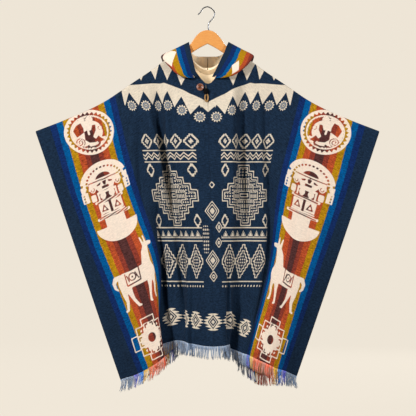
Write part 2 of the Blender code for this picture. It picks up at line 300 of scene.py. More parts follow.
def along(line, distances):
    """Points at distances along a line, running on straight past its end."""
    run = travelled(line)
    past = np.maximum(np.asarray(distances, float) - run[-1], 0)
    found = np.column_stack([np.interp(distances, run, line[:, i]) for i in range(3)])
    ahead = (line[-1] - line[-3]) / np.linalg.norm(line[-1] - line[-3])
    return found + past[:, None] * ahead


def length_of(line):
    """The whole length of a line of points."""
    return travelled(line)[-1]


def neck_cut(side, across):
    """How far the neck hole is cut down from the shoulder fold."""
    return float(np.interp(abs(across), NECK["across"], NECK[side]))


def hood_section(row, steps, hand):
    """One section of the hood, from the neck seam to the face edge; hand is -1 on the left."""
    side, across, lift, *rest = row
    fold = np.array(rest[0:3], float)
    edge = np.array(rest[3:6], float)
    bulge = rest[6]
    way = -1 if side == "front" else 1
    table = FRONT if side == "front" else BACK
    seam_at = []
    for inward in (1.6, 7.0):
        here = max(across - inward * np.interp(across, (36, 80), (0.2, 1)), 0)
        rise = inward * np.interp(across, (36, 66, 80), (1, 0.7, 0))
        depth = max(neck_cut(side, across) - rise, 0)
        seam_at.append(along(warp_line(table, way, hand * here), [depth])[0])
    seam_at = np.array(seam_at) * (-hand, 1, 1)
    out = np.array((-1.0 if across > 30 else -0.3, way * 0.8, 0.45))
    out /= np.linalg.norm(out)
    turn = seam_at[1] + out * lift
    leg = fold - turn
    over = turn + leg * 0.45 + out * lift * 0.8
    back_leg = edge - fold
    top = fold + back_leg * 0.5 + out * bulge + np.array((0, 0, bulge * 0.5))
    lip = fold + out * 5 + np.array((0, 0, 6.0))
    stations = (0, 0.07, 0.16, 0.36, 0.52, 0.60, 0.80, 1)
    places = np.array([seam_at[0], (seam_at[1] + turn) / 2, turn, over, fold, lip, top, edge])
    return smooth(stations, places, steps)


# Small steps that several pieces share.


def tone(*rgb):
    """A colour from screen values of 0 to 255."""
    shares = np.array(rgb) / 255
    low = shares / 12.92
    high = ((shares + 0.055) / 1.055) ** 2.4
    return tuple(float(v) for v in np.where(shares <= 0.04045, low, high)) + (1.0,)


def place_object(name, data):
    """A new object in the scene, in place of an old one of that name."""
    old = bpy.data.objects.get(name)
    if old:
        bpy.data.objects.remove(old, do_unlink=True)
    made = bpy.data.objects.new(name, data)
    bpy.context.scene.collection.objects.link(made)
    return made


def new_piece(name, mesh, slot_name, *materials):
    """A piece of the poncho, with its mesh's materials; the slot name it is given is not used."""
    for material in materials:
        mesh.materials.append(material)
    mesh.shade_smooth()
    piece = place_object(name, mesh)
    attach(piece, "root")
    return piece


def thicken(piece, wall, back_slot=0):
    """Gives a sheet its wall, the reverse in the material of back_slot."""
    solid = piece.modifiers.new("Wall", "SOLIDIFY")
    solid.thickness = wall * MM
    solid.offset = 0
    solid.use_even_offset = True
    solid.use_quality_normals = True
    solid.material_offset = back_slot


def mesh_of(bm, name):
    """Ends a bmesh as a new mesh."""
    mesh = bpy.data.meshes.new(name)
    bm.to_mesh(mesh)
    bm.free()
    return mesh


def lathe(bm, profile, steps):
    """Turns a profile of (radius, height) rows round the upright axis."""
    chain = [bm.verts.new((radius, 0, height)) for radius, height in profile]
    for one, two in zip(chain[:-1], chain[1:]):
        bm.edges.new((one, two))
    geom = bm.verts[:] + bm.edges[:]
    turn = {"axis": (0, 0, 1), "cent": (0, 0, 0), "angle": 2 * math.pi}
    bmesh.ops.spin(bm, geom=geom, **turn, steps=steps, use_merge=True)


def grid_mesh(name, places, flat, facts):
    """A grid whose points keep their spot on the flat cloth as a UV map, and facts as attributes."""
    wide, tall = places.shape[:2]
    bm = bmesh.new()
    bmesh.ops.create_grid(bm, x_segments=wide - 1, y_segments=tall - 1, size=1)
    mesh = mesh_of(bm, name)
    spots = np.empty(len(mesh.vertices) * 3, np.float32)
    mesh.vertices.foreach_get("co", spots)
    spots = spots.reshape(-1, 3)
    i = np.rint((spots[:, 0] + 1) / 2 * (wide - 1)).astype(int)
    j = np.rint((1 - spots[:, 1]) / 2 * (tall - 1)).astype(int)
    mesh.vertices.foreach_set("co", (places[i, j] * MM).astype(np.float32).ravel())
    corners = np.empty(len(mesh.loops), np.int32)
    mesh.loops.foreach_get("vertex_index", corners)
    layer = mesh.uv_layers.new(name="cloth")
    layer.data.foreach_set("uv", (flat[i, j][corners] * MM).astype(np.float32).ravel())
    for key, values in facts.items():
        layer = mesh.attributes.new(key, "FLOAT", "POINT")
        layer.data.foreach_set("value", values[i, j].astype(np.float32))
    mesh.update()
    return mesh


def normals_of(places):
    """The outward direction at each point of a grid of places."""
    over = np.gradient(places, axis=0)
    down = np.gradient(places, axis=1)
    found = np.cross(down, over)
    return found / np.maximum(np.linalg.norm(found, axis=-1, keepdims=True), 1e-9)


def tube_mesh(name, paths, sides, attribute=None, up=(0.12, 1.0, 0.05)):
    """Tubes along paths of (x, y, z, radius) rows, closed at both ends."""
    bm = bmesh.new()
    mark = bm.verts.layers.float.new(attribute) if attribute else None
    for path, value in paths:
        path = np.asarray(path, float)
        rows = len(path)
        made = bmesh.ops.create_grid(bm, x_segments=sides, y_segments=rows - 1, size=1)
        heading = np.gradient(path[:, :3], axis=0)
        heading /= np.linalg.norm(heading, axis=1, keepdims=True)
        side = np.cross(heading, up)
        side /= np.linalg.norm(side, axis=1, keepdims=True)
        other = np.cross(heading, side)
        for vert in made["verts"]:
            i = round((vert.co.x + 1) / 2 * sides) % sides
            j = round((vert.co.y + 1) / 2 * (rows - 1))
            angle = 2 * math.pi * i / sides
            out = side[j] * math.cos(angle) + other[j] * math.sin(angle)
            vert.co = Vector((path[j, :3] + out * path[j, 3]) * MM)
            if mark:
                vert[mark] = value
    bmesh.ops.remove_doubles(bm, verts=bm.verts, dist=1e-6)
    open_ends = [edge for edge in bm.edges if edge.is_boundary]
    bmesh.ops.holes_fill(bm, edges=open_ends, sides=sides + 1)
    bmesh.ops.recalc_face_normals(bm, faces=bm.faces)
    return mesh_of(bm, name)


def yarn_piece(name, path, radius, sides, up, slot_name, look):
    """One round piece along a path of places, with one radius or one for each place."""
    rows = np.column_stack([path, np.broadcast_to(radius, len(path))])
    mesh = tube_mesh(name, [(rows, 0)], sides, None, up)
    return new_piece(name, mesh, slot_name, look)


def twisted_piece(name, path, radius, pitch, up, look):
    """Three strands of cord wound round a path."""
    heading = np.gradient(path, axis=0)
    heading /= np.linalg.norm(heading, axis=1)[:, None]
    run = travelled(path)
    side = np.cross(heading, (0.0, 1.0, 0.02))
    side /= np.linalg.norm(side, axis=1, keepdims=True)
    other = np.cross(heading, side)
    turns = round(run[-1] / pitch) / run[-1]
    strands = []
    for number in range(3):
        angle = (2 * math.pi * (run * turns + number / 3))[:, None]
        spots = path + (side * np.cos(angle) + other * np.sin(angle)) * radius * 0.48
        strands.append((np.column_stack([spots, np.full(len(path), radius * 0.56)]), 0))
    return new_piece(name, tube_mesh(name, strands, 8, None, up), "cord", look)


# Materials: sums on sockets are written as Python.


class Value:
    """A socket in a material."""

    def __init__(self, look, socket):
        self.look = look
        self.socket = socket

    def math(self, operation, *others):
        return self.look.node("ShaderNodeMath", {"operation": operation}, [self, *others])

    def __add__(self, other):
        return self.math("ADD", other)

    __radd__ = __add__

    def __sub__(self, other):
        return self.math("SUBTRACT", other)

    def __rsub__(self, other):
        return self.look.node("ShaderNodeMath", {"operation": "SUBTRACT"}, [other, self])

    def __mul__(self, other):
        return self.math("MULTIPLY", other)

    __rmul__ = __mul__

    def __truediv__(self, other):
        return self.math("DIVIDE", other)

    def __abs__(self):
        return self.math("ABSOLUTE")

    def __or__(self, other):
        return self.math("MAXIMUM", other)

    def __and__(self, other):
        return self.math("MINIMUM", other)

    def wave(self, half):
        """Up from 0 to half and down again, over and over."""
        return self.math("PINGPONG", half)

    def step(self, low, high=None):
        """0 below low and 1 above high, or from 0 to 1 within a hair of low."""
        if high is None:
            low, high = low - 0.35, low + 0.35
        steps = {"interpolation_type": "LINEAR", "clamp": True}
        return self.look.node("ShaderNodeMapRange", steps, {0: self, 1: low, 2: high})


class Look:
    """A material with one Principled shader."""

    def __init__(self, name, **constants):
        old = bpy.data.materials.get(name)
        if old:
            bpy.data.materials.remove(old)
        self.material = bpy.data.materials.new(name)
        self.material.use_nodes = True
        self.tree = self.material.node_tree
        self.shader = self.tree.nodes["Principled BSDF"]
        for key, value in constants.items():
            self.shader.inputs[key.replace("_", " ")].default_value = value

    def node(self, kind, settings=None, values=(), out=0):
        node = self.tree.nodes.new(kind)
        for key, value in (settings or {}).items():
            if key == "stops":
                ramp = node.color_ramp
                ramp.elements.remove(ramp.elements[1])
                ramp.elements[0].position, ramp.elements[0].color = value[0]
                for place, colour in value[1:]:
                    ramp.elements.new(place).color = colour
            elif key == "between":
                node.color_ramp.interpolation = value
            else:
                setattr(node, key, value)
        pairs = values.items() if isinstance(values, dict) else enumerate(values)
        for key, value in pairs:
            if isinstance(value, Value):
                self.tree.links.new(value.socket, node.inputs[key])
            else:
                node.inputs[key].default_value = value
        return Value(self, node.outputs[out])

    def cloth_place(self):
        return self.node("ShaderNodeUVMap", {"uv_map": "cloth"})

    def flat(self):
        """Across and down on the flat cloth, in millimetres, and the place itself."""
        place = self.cloth_place()
        parts = self.node("ShaderNodeSeparateXYZ", None, [place])
        other = Value(self, parts.socket.node.outputs[1])
        return parts * 1000, other * 1000, place

    def fact(self, name):
        return self.node("ShaderNodeAttribute", {"attribute_name": name}, (), 2)

    def place(self):
        return self.node("ShaderNodeTexCoord", None, (), 3)

    def noise(self, place, scale, detail=2.0, stretch=(1, 1, 1), rough=0.5):
        if stretch != (1, 1, 1):
            place = self.node("ShaderNodeMapping", None, {0: place, 3: stretch})
        values = {"Vector": place, "Scale": scale, "Detail": detail, "Roughness": rough}
        return self.node("ShaderNodeTexNoise", None, values)

    def blend(self, one, other, share):
        """one where share is 0, other where it is 1."""
        settings = {"data_type": "RGBA", "clamp_factor": True}
        return self.node("ShaderNodeMix", settings, {0: share, 6: one, 7: other}, 2)

    def shade(self, colour, amount):
        """The colour made darker or brighter by amount, 1 leaving it as it is."""
        grey = self.node("ShaderNodeCombineXYZ", None, [amount, amount, amount])
        settings = {"data_type": "RGBA", "blend_type": "MULTIPLY"}
        return self.node("ShaderNodeMix", settings, {0: 1.0, 6: colour, 7: grey}, 2)

    def ramp(self, value, stops, between="CONSTANT"):
        return self.node("ShaderNodeValToRGB", {"between": between, "stops": stops}, [value])

    def bump(self, height, distance, strength=1.0):
        values = {"Height": height, "Distance": distance, "Strength": strength}
        return self.node("ShaderNodeBump", None, values)

    def finish(self, **links):
        for key, value in links.items():
            self.tree.links.new(value.socket, self.shader.inputs[key.replace("_", " ")])
        return self.material


# Patterns on the flat cloth.

NAVY = tone(26, 44, 65)
DARK_BLUE = tone(18, 44, 96)
BLUE = tone(0, 84, 142)
OLIVE = tone(178, 130, 18)
ORANGE = tone(182, 78, 42)
RUST = tone(138, 58, 44)
BROWN = tone(82, 48, 46)
CREAM = tone(228, 214, 192)
BAND_CREAM = tone(254, 234, 213)

# Each stripe of a side band with the distance from the band's middle where it ends.
BAND_MIDDLE = 507.0
STRIPES = ((16, BROWN), (36, RUST), (61, ORANGE), (85, OLIVE), (110, BLUE), (134, DARK_BLUE))
BAND_REACH = 700.0
HOOD_STARTS = (0, 19, 36, 53, 76, 90, 104, 140, 157, 174, 192, 208, 224)
HOOD_COLOURS = (NAVY, DARK_BLUE, BLUE, OLIVE, ORANGE, RUST, BROWN)
HOOD_REACH = 400.0

# The width of one tooth of the yoke, and of one rosette with its gap.
REPEAT = 57.0


def band_stops():
    """Ramp stops for the stripes of one side band, over 0 to BAND_REACH."""
    ends, colours = zip(*STRIPES)
    inner = [(BAND_MIDDLE - end, colour) for end, colour in STRIPES]
    outer = [(BAND_MIDDLE + start, colour) for start, colour in zip(ends, colours[1:])]
    stops = [(0.0, NAVY)] + inner[::-1] + outer + [(BAND_MIDDLE + ends[-1], NAVY)]
    return [(place / BAND_REACH, colour) for place, colour in stops]


def hood_stops():
    """Ramp stops for the hood's stripes, from its face edge over 0 to HOOD_REACH."""
    colours = HOOD_COLOURS + HOOD_COLOURS[-2::-1]
    return [(start / HOOD_REACH, colour) for start, colour in zip(HOOD_STARTS, colours)]


# How much lower than the middle a level line of the yoke leaves the shoulder fold.
LEVEL = (
    (0, 21, 57, 121, 157, 177, 245, 297, 345, 400, 697),
    (0, 15, 39, 103, 138, 146, 183, 211, 236, 264, 400),
)

# The yoke's rows, as heights under the fold in the middle of the chest.
CHEVRON_TOP, CHEVRON_FOOT = 219, 246
ZIGZAG_FOOT, ZIGZAG_TALL = 205, 63
TOOTH_TALL, NECK_TOOTH_TALL = 50, 10
ROSETTE_LEVEL, ROSETTE_RADIUS = 361, 17.0

# How far each row reaches to the sides.
CHEVRON_HALF, ZIGZAG_HALF, ROSETTE_HALF, EYE_HALF = 344, 300, 330, 318

# The eye lozenges above the hem: half their spacing, half their size and their row's height.
EYE_STEP, EYE_WIDE, EYE_TALL, EYE_ROW = 46, 29, 30, 88


def disc(at, across, down, radius):
    """Depth inside a round, in millimetres; outside it is negative."""
    return radius - np.hypot(at[0] - across, at[1] - down)


def ring(at, across, down, radius, width):
    """Depth inside the line of a round."""
    return width / 2 - abs(np.hypot(at[0] - across, at[1] - down) - radius)


def limb(at, *joints):
    """Depth inside a run of joints of (across, down, radius)."""
    best = np.full(at[0].shape, -99.0)
    for one, two in zip(joints[:-1], joints[1:]):
        along_x, along_y = two[0] - one[0], two[1] - one[1]
        length = along_x**2 + along_y**2
        share = ((at[0] - one[0]) * along_x + (at[1] - one[1]) * along_y) / length
        share = np.clip(share, 0, 1)
        gap = np.hypot(at[0] - one[0] - share * along_x, at[1] - one[1] - share * along_y)
        best = np.maximum(best, one[2] + share * (two[2] - one[2]) - gap)
    return best


def block(at, across, down, half_wide, half_tall, corner=0.0):
    """Depth inside an upright rectangle with rounded corners."""
    x = abs(at[0] - across) - half_wide + corner
    y = abs(at[1] - down) - half_tall + corner
    outside = np.hypot(np.maximum(x, 0), np.maximum(y, 0))
    return corner - outside - np.minimum(np.maximum(x, y), 0)


def joined(*depths):
    """Depth inside any of some shapes."""
    return np.maximum.reduce(depths)


def blocks(at, *rows):
    """Depth inside any of some rectangles."""
    return joined(*(block(at, *row) for row in rows))


def within(*depths):
    """Depth inside all of some shapes at once."""
    return np.minimum.reduce(depths)


def cut(depth, *holes):
    """A shape with holes in it."""
    return np.minimum(depth, -np.maximum.reduce(holes))


def swirl(at, across, down, radius, turns, width, hand=1):
    """A line wound inwards from radius."""
    x, y = (at[0] - across) * hand, at[1] - down
    angle = np.arctan2(y, x) / (2 * math.pi) % 1.0
    far = np.hypot(x, y)
    pitch = radius / turns
    off = (far / pitch - angle + 0.5) % 1.0 - 0.5
    line = width / 2 - abs(off) * pitch
    return within(line, radius - far, far - pitch * 0.2)


def patch(at, *corners):
    """Depth inside a shape with straight sides."""
    x, y = at
    gap = np.full(x.shape, 1e9)
    inside = np.zeros(x.shape, bool)
    for (x1, y1), (x2, y2) in zip(corners, corners[1:] + corners[:1]):
        gap = np.minimum(gap, -limb(at, (x1, y1, 0), (x2, y2, 0)))
        crosses = (y1 > y) != (y2 > y)
        inside ^= crosses & (x < (x2 - x1) * (y - y1) / (y2 - y1 + 1e-9) + x1)
    return np.where(inside, gap, -gap)


def monkey_disc(at):
    """A toothed round with a long-tailed monkey in it."""
    here = (at[0] * 0.86 + 2, at[1] + 0.2 * at[0] - 81)
    x, y = here
    far = np.hypot(x, y)
    turn = np.arctan2(y, x) * 30 / (2 * math.pi)
    tooth = abs(turn % 1.0 - 0.5) * 2
    rim = within(83 - far, far - 76)
    teeth = within(77 - far, far - 67 - 9 * tooth)
    inner_ring = ring(here, 0, 0, 61.5, 4.4)
    field = 58.5 - far
    gap = cut(within(57 - far, far - 44, y * -1 + 26, 8 - x), disc(here, -8, -46, 12))
    right = ((17, -6), (20, 24), (8, 37), (-14, 40), (-20, 34))
    left = ((-8, 18), (-22, -4), (-24, -24), (-14, -24), (-6, -6), (6, -10))
    body_gap = patch(here, *right, *left)
    side_gap = patch(here, (52, -16), (38, -34), (22, -40), (17, -20), (18, -4), (44, 10))
    foot = patch(here, (-26, 18), (-14, 30), (-22, 44), (-44, 38), (-34, 30))
    mark = patch(here, (-50, 8), (-42, 18), (-50, 30), (-58, 20))
    low = within(ring(here, 0, 0, 54, 5), y - 34, 26 - abs(x + 2))
    tail = limb(here, (40, 47, 1.8), (22, 52, 1.8), (12, 46, 2.4))
    curl = joined(swirl(here, 38, 30, 17, 2.2, 3.4, -1), tail)
    eye = ring(here, -38, -8, 7.5, 2.6)
    found = cut(field, gap, body_gap, side_gap, foot, mark, low, curl, eye)
    head = cut(disc(here, 4, -37, 16), ring(here, 4, -37, 10, 4.2), disc(here, 4, -37, 2.2))
    trunk = limb(here, (4, -22, 3.2), (3, 6, 3.6))
    return joined(rim, teeth, inner_ring, found, head, trunk)


def knife_figure(at):
    """A ceremonial knife: a dotted fan over a calm mask, short arms and a half-moon blade."""
    x, y = at[0] + 9, at[1] + 0.04 * at[0]
    here = (x, y)
    side = (abs(x), y)
    far = np.hypot(x, (y - 274) * 1.24)
    fan = within(98 - far, 262 - y + 0.35 * abs(x))
    low_notch = patch(side, (62, 262), (74, 300), (92, 300), (76, 276))
    high_notch = patch(side, (84, 258), (110, 252), (110, 262), (88, 266))
    fan = cut(fan, low_notch, high_notch)
    turn = np.arctan2((274 - y) * 1.24, x) / math.pi
    bead = ((turn * 15) % 1.0 - 0.5) * 15
    fan = cut(fan, within(4.4 - abs(bead), 4.2 - abs(far - 73)))
    brow = within(34 - np.hypot(x, (y - 262) * 1.25), 252 - y)
    line = within(2.2 - abs(y - 259.5), 64 - abs(x))
    fan = cut(fan, brow, line)
    mask = patch(here, (-54, 263), (54, 263), (30, 298), (-30, 298))
    eyes = patch(side, (14, 268), (40, 268), (30, 278), (18, 276))
    nose = joined(patch(here, (-9, 266), (9, 266), (4, 280), (-4, 280)), block(here, 0, 288, 14, 4.4))
    mask = cut(mask, eyes, nose)
    ears = cut(disc(side, 52, 284, 12.5), ring(side, 52, 284, 6.5, 3.4))
    arms = blocks(side, (56, 316, 10.5, 13, 5), (87, 306, 13, 19, 2))
    dots = blocks(side, *((91, 295 + 11 * number, 3.4, 3.6) for number in range(3)))
    chest = joined(disc(side, 18, 317, 12), blocks(side, (0, 304, 40, 4), (36, 318, 3.4, 12)))
    belt = cut(block(here, 0, 336, 58, 4.6, 3), block(here, 0, 336, 50, 1.7))
    skirt = cut(block(side, 26, 362, 21, 19), block(here, 0, 362, 5, 21))
    hole = patch(side, (11, 374), (41, 374), (26, 347))
    skirt = cut(skirt, cut(hole, hole - 4.6))
    foot = cut(block(here, 0, 397, 68, 5, 4), block(here, 0, 397, 60, 1.8))
    base = joined(block(here, 0, 386, 50, 2.6), foot)
    neck = block(here, 0, 420, 39, 19)
    blade = within(y - 432, 85 - np.hypot(x, (y - 432) * 1.42))
    return joined(fan, mask, ears, cut(arms, dots), chest, belt, skirt, base, neck, blade)


def small_llama(at):
    """A llama in profile with a patterned saddle cloth, facing the middle of the poncho."""
    here = (at[0] + 4, at[1])
    body = limb(here, (-72, 644, 25), (-40, 640, 31), (0, 641, 29), (34, 640, 30))
    neck = limb(here, (-70, 652, 28), (-64, 612, 20), (-70, 574, 16), (-80, 552, 12))
    head = limb(here, (-78, 550, 11), (-94, 549, 8), (-107, 552, 6.5))
    ears = limb(here, (-72, 544, 5), (-66, 518, 2.5))
    ears = joined(ears, limb(here, (-84, 542, 5), (-82, 517, 2.5)))
    tail = limb(here, (50, 620, 9), (70, 619, 9), (80, 632, 7), (80, 650, 5), (72, 660, 3))
    hind = limb(here, (44, 648, 22), (50, 684, 11), (48, 714, 6.5), (56, 742, 5), (64, 745, 3.5))
    far_hind = ((34, 650, 20), (26, 688, 10), (20, 712, 6), (6, 740, 5), (-2, 742, 3.5))
    hind = joined(hind, limb(here, *far_hind))
    fore = limb(here, (-62, 660, 14), (-56, 694, 7), (-50, 722, 5), (-47, 742, 5), (-52, 746, 3.5))
    far_fore = ((-82, 656, 12), (-82, 694, 6.5), (-76, 720, 4.6), (-78, 738, 4.6), (-84, 742, 3.5))
    fore = joined(fore, limb(here, *far_fore))
    weave = joined(
        limb(here, (-28, 612, 2.3), (-26, 656, 2.3)),
        limb(here, (28, 616, 2.3), (30, 658, 2.3)),
        ring(here, 2, 634, 13, 4.4),
        disc(here, 2, 634, 3.6),
        limb(here, (-20, 648, 2.1), (-12, 622, 2.1)),
        limb(here, (18, 648, 2.1), (22, 624, 2.1)),
        limb(here, (-24, 656, 2.4), (28, 660, 2.8)),
    )
    return cut(joined(body, neck, head, ears, tail, hind, fore), weave)


def stepped(at, across, down, half_wide, half_tall, steps=3):
    """A stepped cross, as the depth inside its outline."""
    x = abs(at[0] - across) / half_wide
    y = abs(at[1] - down) / half_tall
    depths = []
    for number in range(steps):
        wide = (number + 1) / steps
        tall = (steps - number) / steps
        depths.append(within((wide - x) * half_wide, (tall - y) * half_tall))
    return joined(*depths)


def sun_cross(at):
    """A stepped cross in outline round a second one with hooked edges and a round middle."""
    here = (abs(at[0] + 10), abs(at[1] - 868))
    outer = blocks(here, (0, 0, 30, 79), (0, 0, 60, 54), (0, 0, 89, 28))
    inner = blocks(here, (0, 0, 24, 58), (0, 0, 42, 42, 8), (0, 0, 62, 24))
    flat_hooks = ((10, 52, 6, 2.6), (37, 30, 8, 2.8), (48, 15, 7, 2.6), (60, 26, 12, 3))
    upright_hooks = ((16, 47, 2.6, 7), (31, 37, 2.8, 8), (54, 10, 2.6, 7), (26, 56, 3, 12))
    hooks = blocks(here, *flat_hooks, *upright_hooks)
    return joined(outline(outer, 4.4), cut(inner, hooks, disc(here, 0, 0, 17)))


def band_figures(across, down):
    """The depth of the side bands' cream figures at every point, mirrored on the other side."""
    at = (abs(across) - BAND_MIDDLE, down)
    return joined(monkey_disc(at), knife_figure(at), small_llama(at), sun_cross(at))


def outline(depth, width):
    """Only the rim of a shape."""
    return cut(depth, depth - width)


def middle_shapes(across, level):
    """The depth inside the stepped shapes of the cloth's middle, an ornament of its own.

    level is the height below the hook, so that rows hang straight."""
    at = (abs(across), level)
    found = [stepped(at, 60 + 56 * number, 492, 25, 27, 4) for number in range(5)]
    found.append(stepped(at, 178, 690, 128, 112, 5))
    for beside in (64, 292):
        found.extend(stepped(at, beside, level_at, 17, 24, 3) for level_at in (598, 782))
    found.extend(stepped(at, 88 + 86 * number, 930, 41, 62, 5) for number in range(3))
    return joined(*found)


def column_shapes(across, level):
    """The depth inside the lozenges down the middle line."""
    found = []
    upper = ((7, 652, 14), (4, 747, 38), (34, 806, 21))
    lower = ((31, 862, 21), (0, 926, 38), (3, 984, 22))
    for beside, middle, size in upper + lower:
        tilt = abs(across - beside) * 1.12 + abs(level - middle)
        found.append((size - tilt) * 0.7)
    return joined(*found)


# The shapes of the cloth.

FRONT_CREASES = (
    # across and down at the start, across and down at the end, height, width
    (-203, 60, -196, 660, -29, 26),
    (-252, 110, -238, 580, 12, 18),
    (-156, 90, -146, 500, 12, 16),
    (-125, 110, -130, 540, -6, 13),
    (-300, 130, -372, 480, -12, 18),
    (-280, 380, -322, 880, -14, 19),
    (-184, 620, -226, 980, -27, 31),
    (-262, 640, -276, 920, 8, 17),
    (-130, 640, -142, 940, 8, 18),
    (-3, 200, -9, 560, -4, 8),
    (18, 190, 12, 620, 5, 14),
    (92, 120, 96, 720, 11, 18),
    (134, 70, 190, 660, -29, 26),
    (178, 90, 232, 460, 12, 15),
    (242, 90, 326, 440, -19, 18),
    (323, 440, 332, 880, -14, 17),
    (276, 300, 292, 720, 7, 20),
    (82, 800, 78, 1120, -16, 7),
    (98, 800, 95, 1120, 7, 10),
    (-360, 240, -380, 900, 4, 28),
    (-470, 300, -500, 860, -3, 32),
    (-600, 200, -590, 800, 3, 36),
    (470, 260, 520, 860, -3, 32),
    (590, 320, 610, 880, 3, 36),
    (-300, 110, -420, 330, 3, 26),
    (310, 110, 430, 320, 3, 26),
)

BACK_CREASES = (
    (-210, 120, -190, 880, 4.8, 20),
    (-120, 160, -90, 900, -4.4, 16),
    (-40, 220, -20, 940, 4.0, 15),
    (46, 140, 60, 900, -4.8, 17),
    (130, 200, 150, 920, 4.4, 18),
    (232, 150, 250, 860, -4.0, 20),
    (-360, 220, -340, 860, -3.6, 26),
    (350, 200, 372, 900, 3.6, 26),
    (-510, 240, -520, 840, 3.2, 32),
    (520, 260, 540, 880, -3.2, 32),
    (-620, 300, -610, 820, -2.4, 34),
    (612, 180, 640, 780, 2.4, 34),
)


def crease_height(creases, across, down):
    """How far the creases lift or sink each point, in millimetres."""
    height = np.zeros(across.shape)
    for x1, y1, x2, y2, deep, wide in creases:
        share = (down - y1) / (y2 - y1)
        middle = x1 + (x2 - x1) * share + 5 * np.sin(share * 5 + x1)
        window = np.clip(share, 0, 1) * np.clip(1 - share, 0, 1) * 4
        window = window**0.6
        height += deep * window * np.exp(-(((across - middle) / wide) ** 2))
    ripple = np.sin(across / 23 + np.sin(down / 90) * 1.3) * np.sin(down / 140 + across / 210)
    return height + 0.35 * ripple


def panel_mesh(name, table, way, stations, rows, creases):
    """A panel from the fold or the neck to the hem, with its creases and its pattern's facts."""
    side = "front" if way < 0 else "back"
    places, flats, hems = [], [], []
    shares = np.concatenate([np.linspace(0, 0.02, 6)[:-1], np.linspace(0.02, 1, rows)])
    for across in stations:
        line = warp_line(table, way, float(across))
        whole = length_of(line)
        top = neck_cut(side, across)
        down = top + (whole - top) * shares
        places.append(along(line, down))
        flats.append(np.column_stack([np.full(len(down), across), down]))
        hems.append(whole - down)
    places, flats, hems = np.array(places), np.array(flats), np.array(hems)
    across, down = flats[..., 0], flats[..., 1]
    to_selvedge = HALF_WIDTH - abs(across)
    from_neck = np.hypot(across, down * 0.75) - 95
    # The creases fade out towards the fold, the hem, the selvedges and the neck.
    fades = within((down - 40) / 90, hems / 60, to_selvedge / 40, from_neck / 60)
    lift = crease_height(creases, across, down) * np.clip(fades, 0, 1)
    places = places + normals_of(places) * lift[..., None]
    level = -places[..., 2]
    facts = {
        "figure": np.clip(band_figures(across, down), -12, 12),
        "middle": np.clip(middle_shapes(across, level), -12, 90),
        "column": np.clip(column_shapes(across, level), -12, 40),
        "level": level,
        "yoke": down + np.interp(abs(across), *LEVEL),
        "from_hem": hems,
    }
    return grid_mesh(name, places, flats, facts)


def hood_mesh(name, hand, meridians, steps):
    """Half of the thrown-back hood, from its neck seam over the fold to the face edge."""
    shares = np.linspace(0, 1, steps)
    sections = np.array([hood_section(row, shares, hand) for row in HOOD])
    stations = np.arange(len(HOOD), dtype=float)
    past = sections[-1] * (-1, 1, 1)
    sections = np.concatenate([sections, past[None]])
    stations = np.append(stations, stations[-1] + BAG_WIDTH)
    at = np.linspace(0, len(HOOD) - 1 + BAG_WIDTH / 2, meridians)
    places = smooth(stations, sections.reshape(len(sections), -1), at)
    places = places.reshape(meridians, steps, 3)
    places[-1, :, 0] = 0
    # The right half lies closer to the middle in front, and its edge stands out more beside.
    near = np.clip(1 - at / 3.0, 0, 1)[:, None] * np.clip(shares / 0.5, 0, 1)
    places[..., 0] += (24 if hand > 0 else 3) * near
    high = np.exp(-(((at - 5) / 1.6) ** 2))[:, None] * np.clip((shares - 0.6) / 0.4, 0, 1)
    places[..., 0] -= (9 if hand > 0 else 0) * high
    gaps = np.linalg.norm(np.diff(places, axis=1), axis=2)
    from_neck = np.concatenate([np.zeros((meridians, 1)), np.cumsum(gaps, axis=1)], axis=1)
    from_face = from_neck[:, -1:] - from_neck
    round_neck = travelled(places.mean(axis=1))
    flats = np.stack([from_face, np.broadcast_to(round_neck[:, None], from_face.shape)], axis=-1)
    station = np.broadcast_to(at[:, None], from_face.shape)
    facts = {"from_face": from_face, "station": station}
    if hand > 0:
        places = places[::-1] * (-1, 1, 1)
        flats = flats[::-1]
        facts = {key: values[::-1] for key, values in facts.items()}
    return grid_mesh(name, places, flats, facts)


def fringe_mesh(name, table, way, strands, seed):
    """Loose warp ends below the hem, which hang in small clumps."""
    chance = random.Random(seed)
    paths = []
    lean = 0.0
    clump = (0.0, 0.0, 0.0)
    for number in range(strands):
        place = -HALF_WIDTH + 2 * HALF_WIDTH * (number + 0.5) / strands
        across = place + chance.uniform(-0.5, 0.5)
        if number % 3 == 0:
            lean = lean * 0.8 + chance.gauss(0, 0.045)
            middle = place + 2 * HALF_WIDTH / strands
            clump = (middle, lean + chance.gauss(0, 0.07), chance.gauss(0, 0.06))
        line = warp_line(table, way, max(min(across, HALF_WIDTH), -HALF_WIDTH))
        root = along(line, [length_of(line) - 1.0])[0]
        ahead = line[-1] - line[-3]
        ahead /= np.linalg.norm(ahead)
        drift = np.array((clump[1] + chance.gauss(0, 0.03), clump[2] + chance.gauss(0, 0.03), 0))
        length = chance.uniform(42, 50) if chance.random() > 0.08 else chance.uniform(32, 42)
        length *= 1.0 if way < 0 else 0.94
        thick = chance.uniform(0.6, 0.95)
        curl = chance.uniform(-1.6, 1.6)
        pull = (clump[0] - across) * 0.5
        path = []
        for step in np.linspace(0, 1, 6):
            fall = ahead * (1 - step) + np.array((0, 0, -1)) * step
            spot = root + fall * length * step + drift * length * step**1.4
            sway = curl * math.sin(step * 4) * step + pull * min(step * 3, 1)
            spot = spot + np.array((sway, curl * 0.5 * math.cos(step * 3) * step, 0))
            path.append((*spot, thick * (1.15 - 0.5 * step)))
        paths.append((path, across))
    return tube_mesh(name, paths, 4, "root")


# Looks.


def between(value, low, high):
    """Above 0 where value lies from low to high, in the value's own units."""
    return (value - low) & (high - value)


def length_of_pair(x, y):
    """How far a point at x, y lies from 0, 0."""
    return (x * x + y * y).math("SQRT")


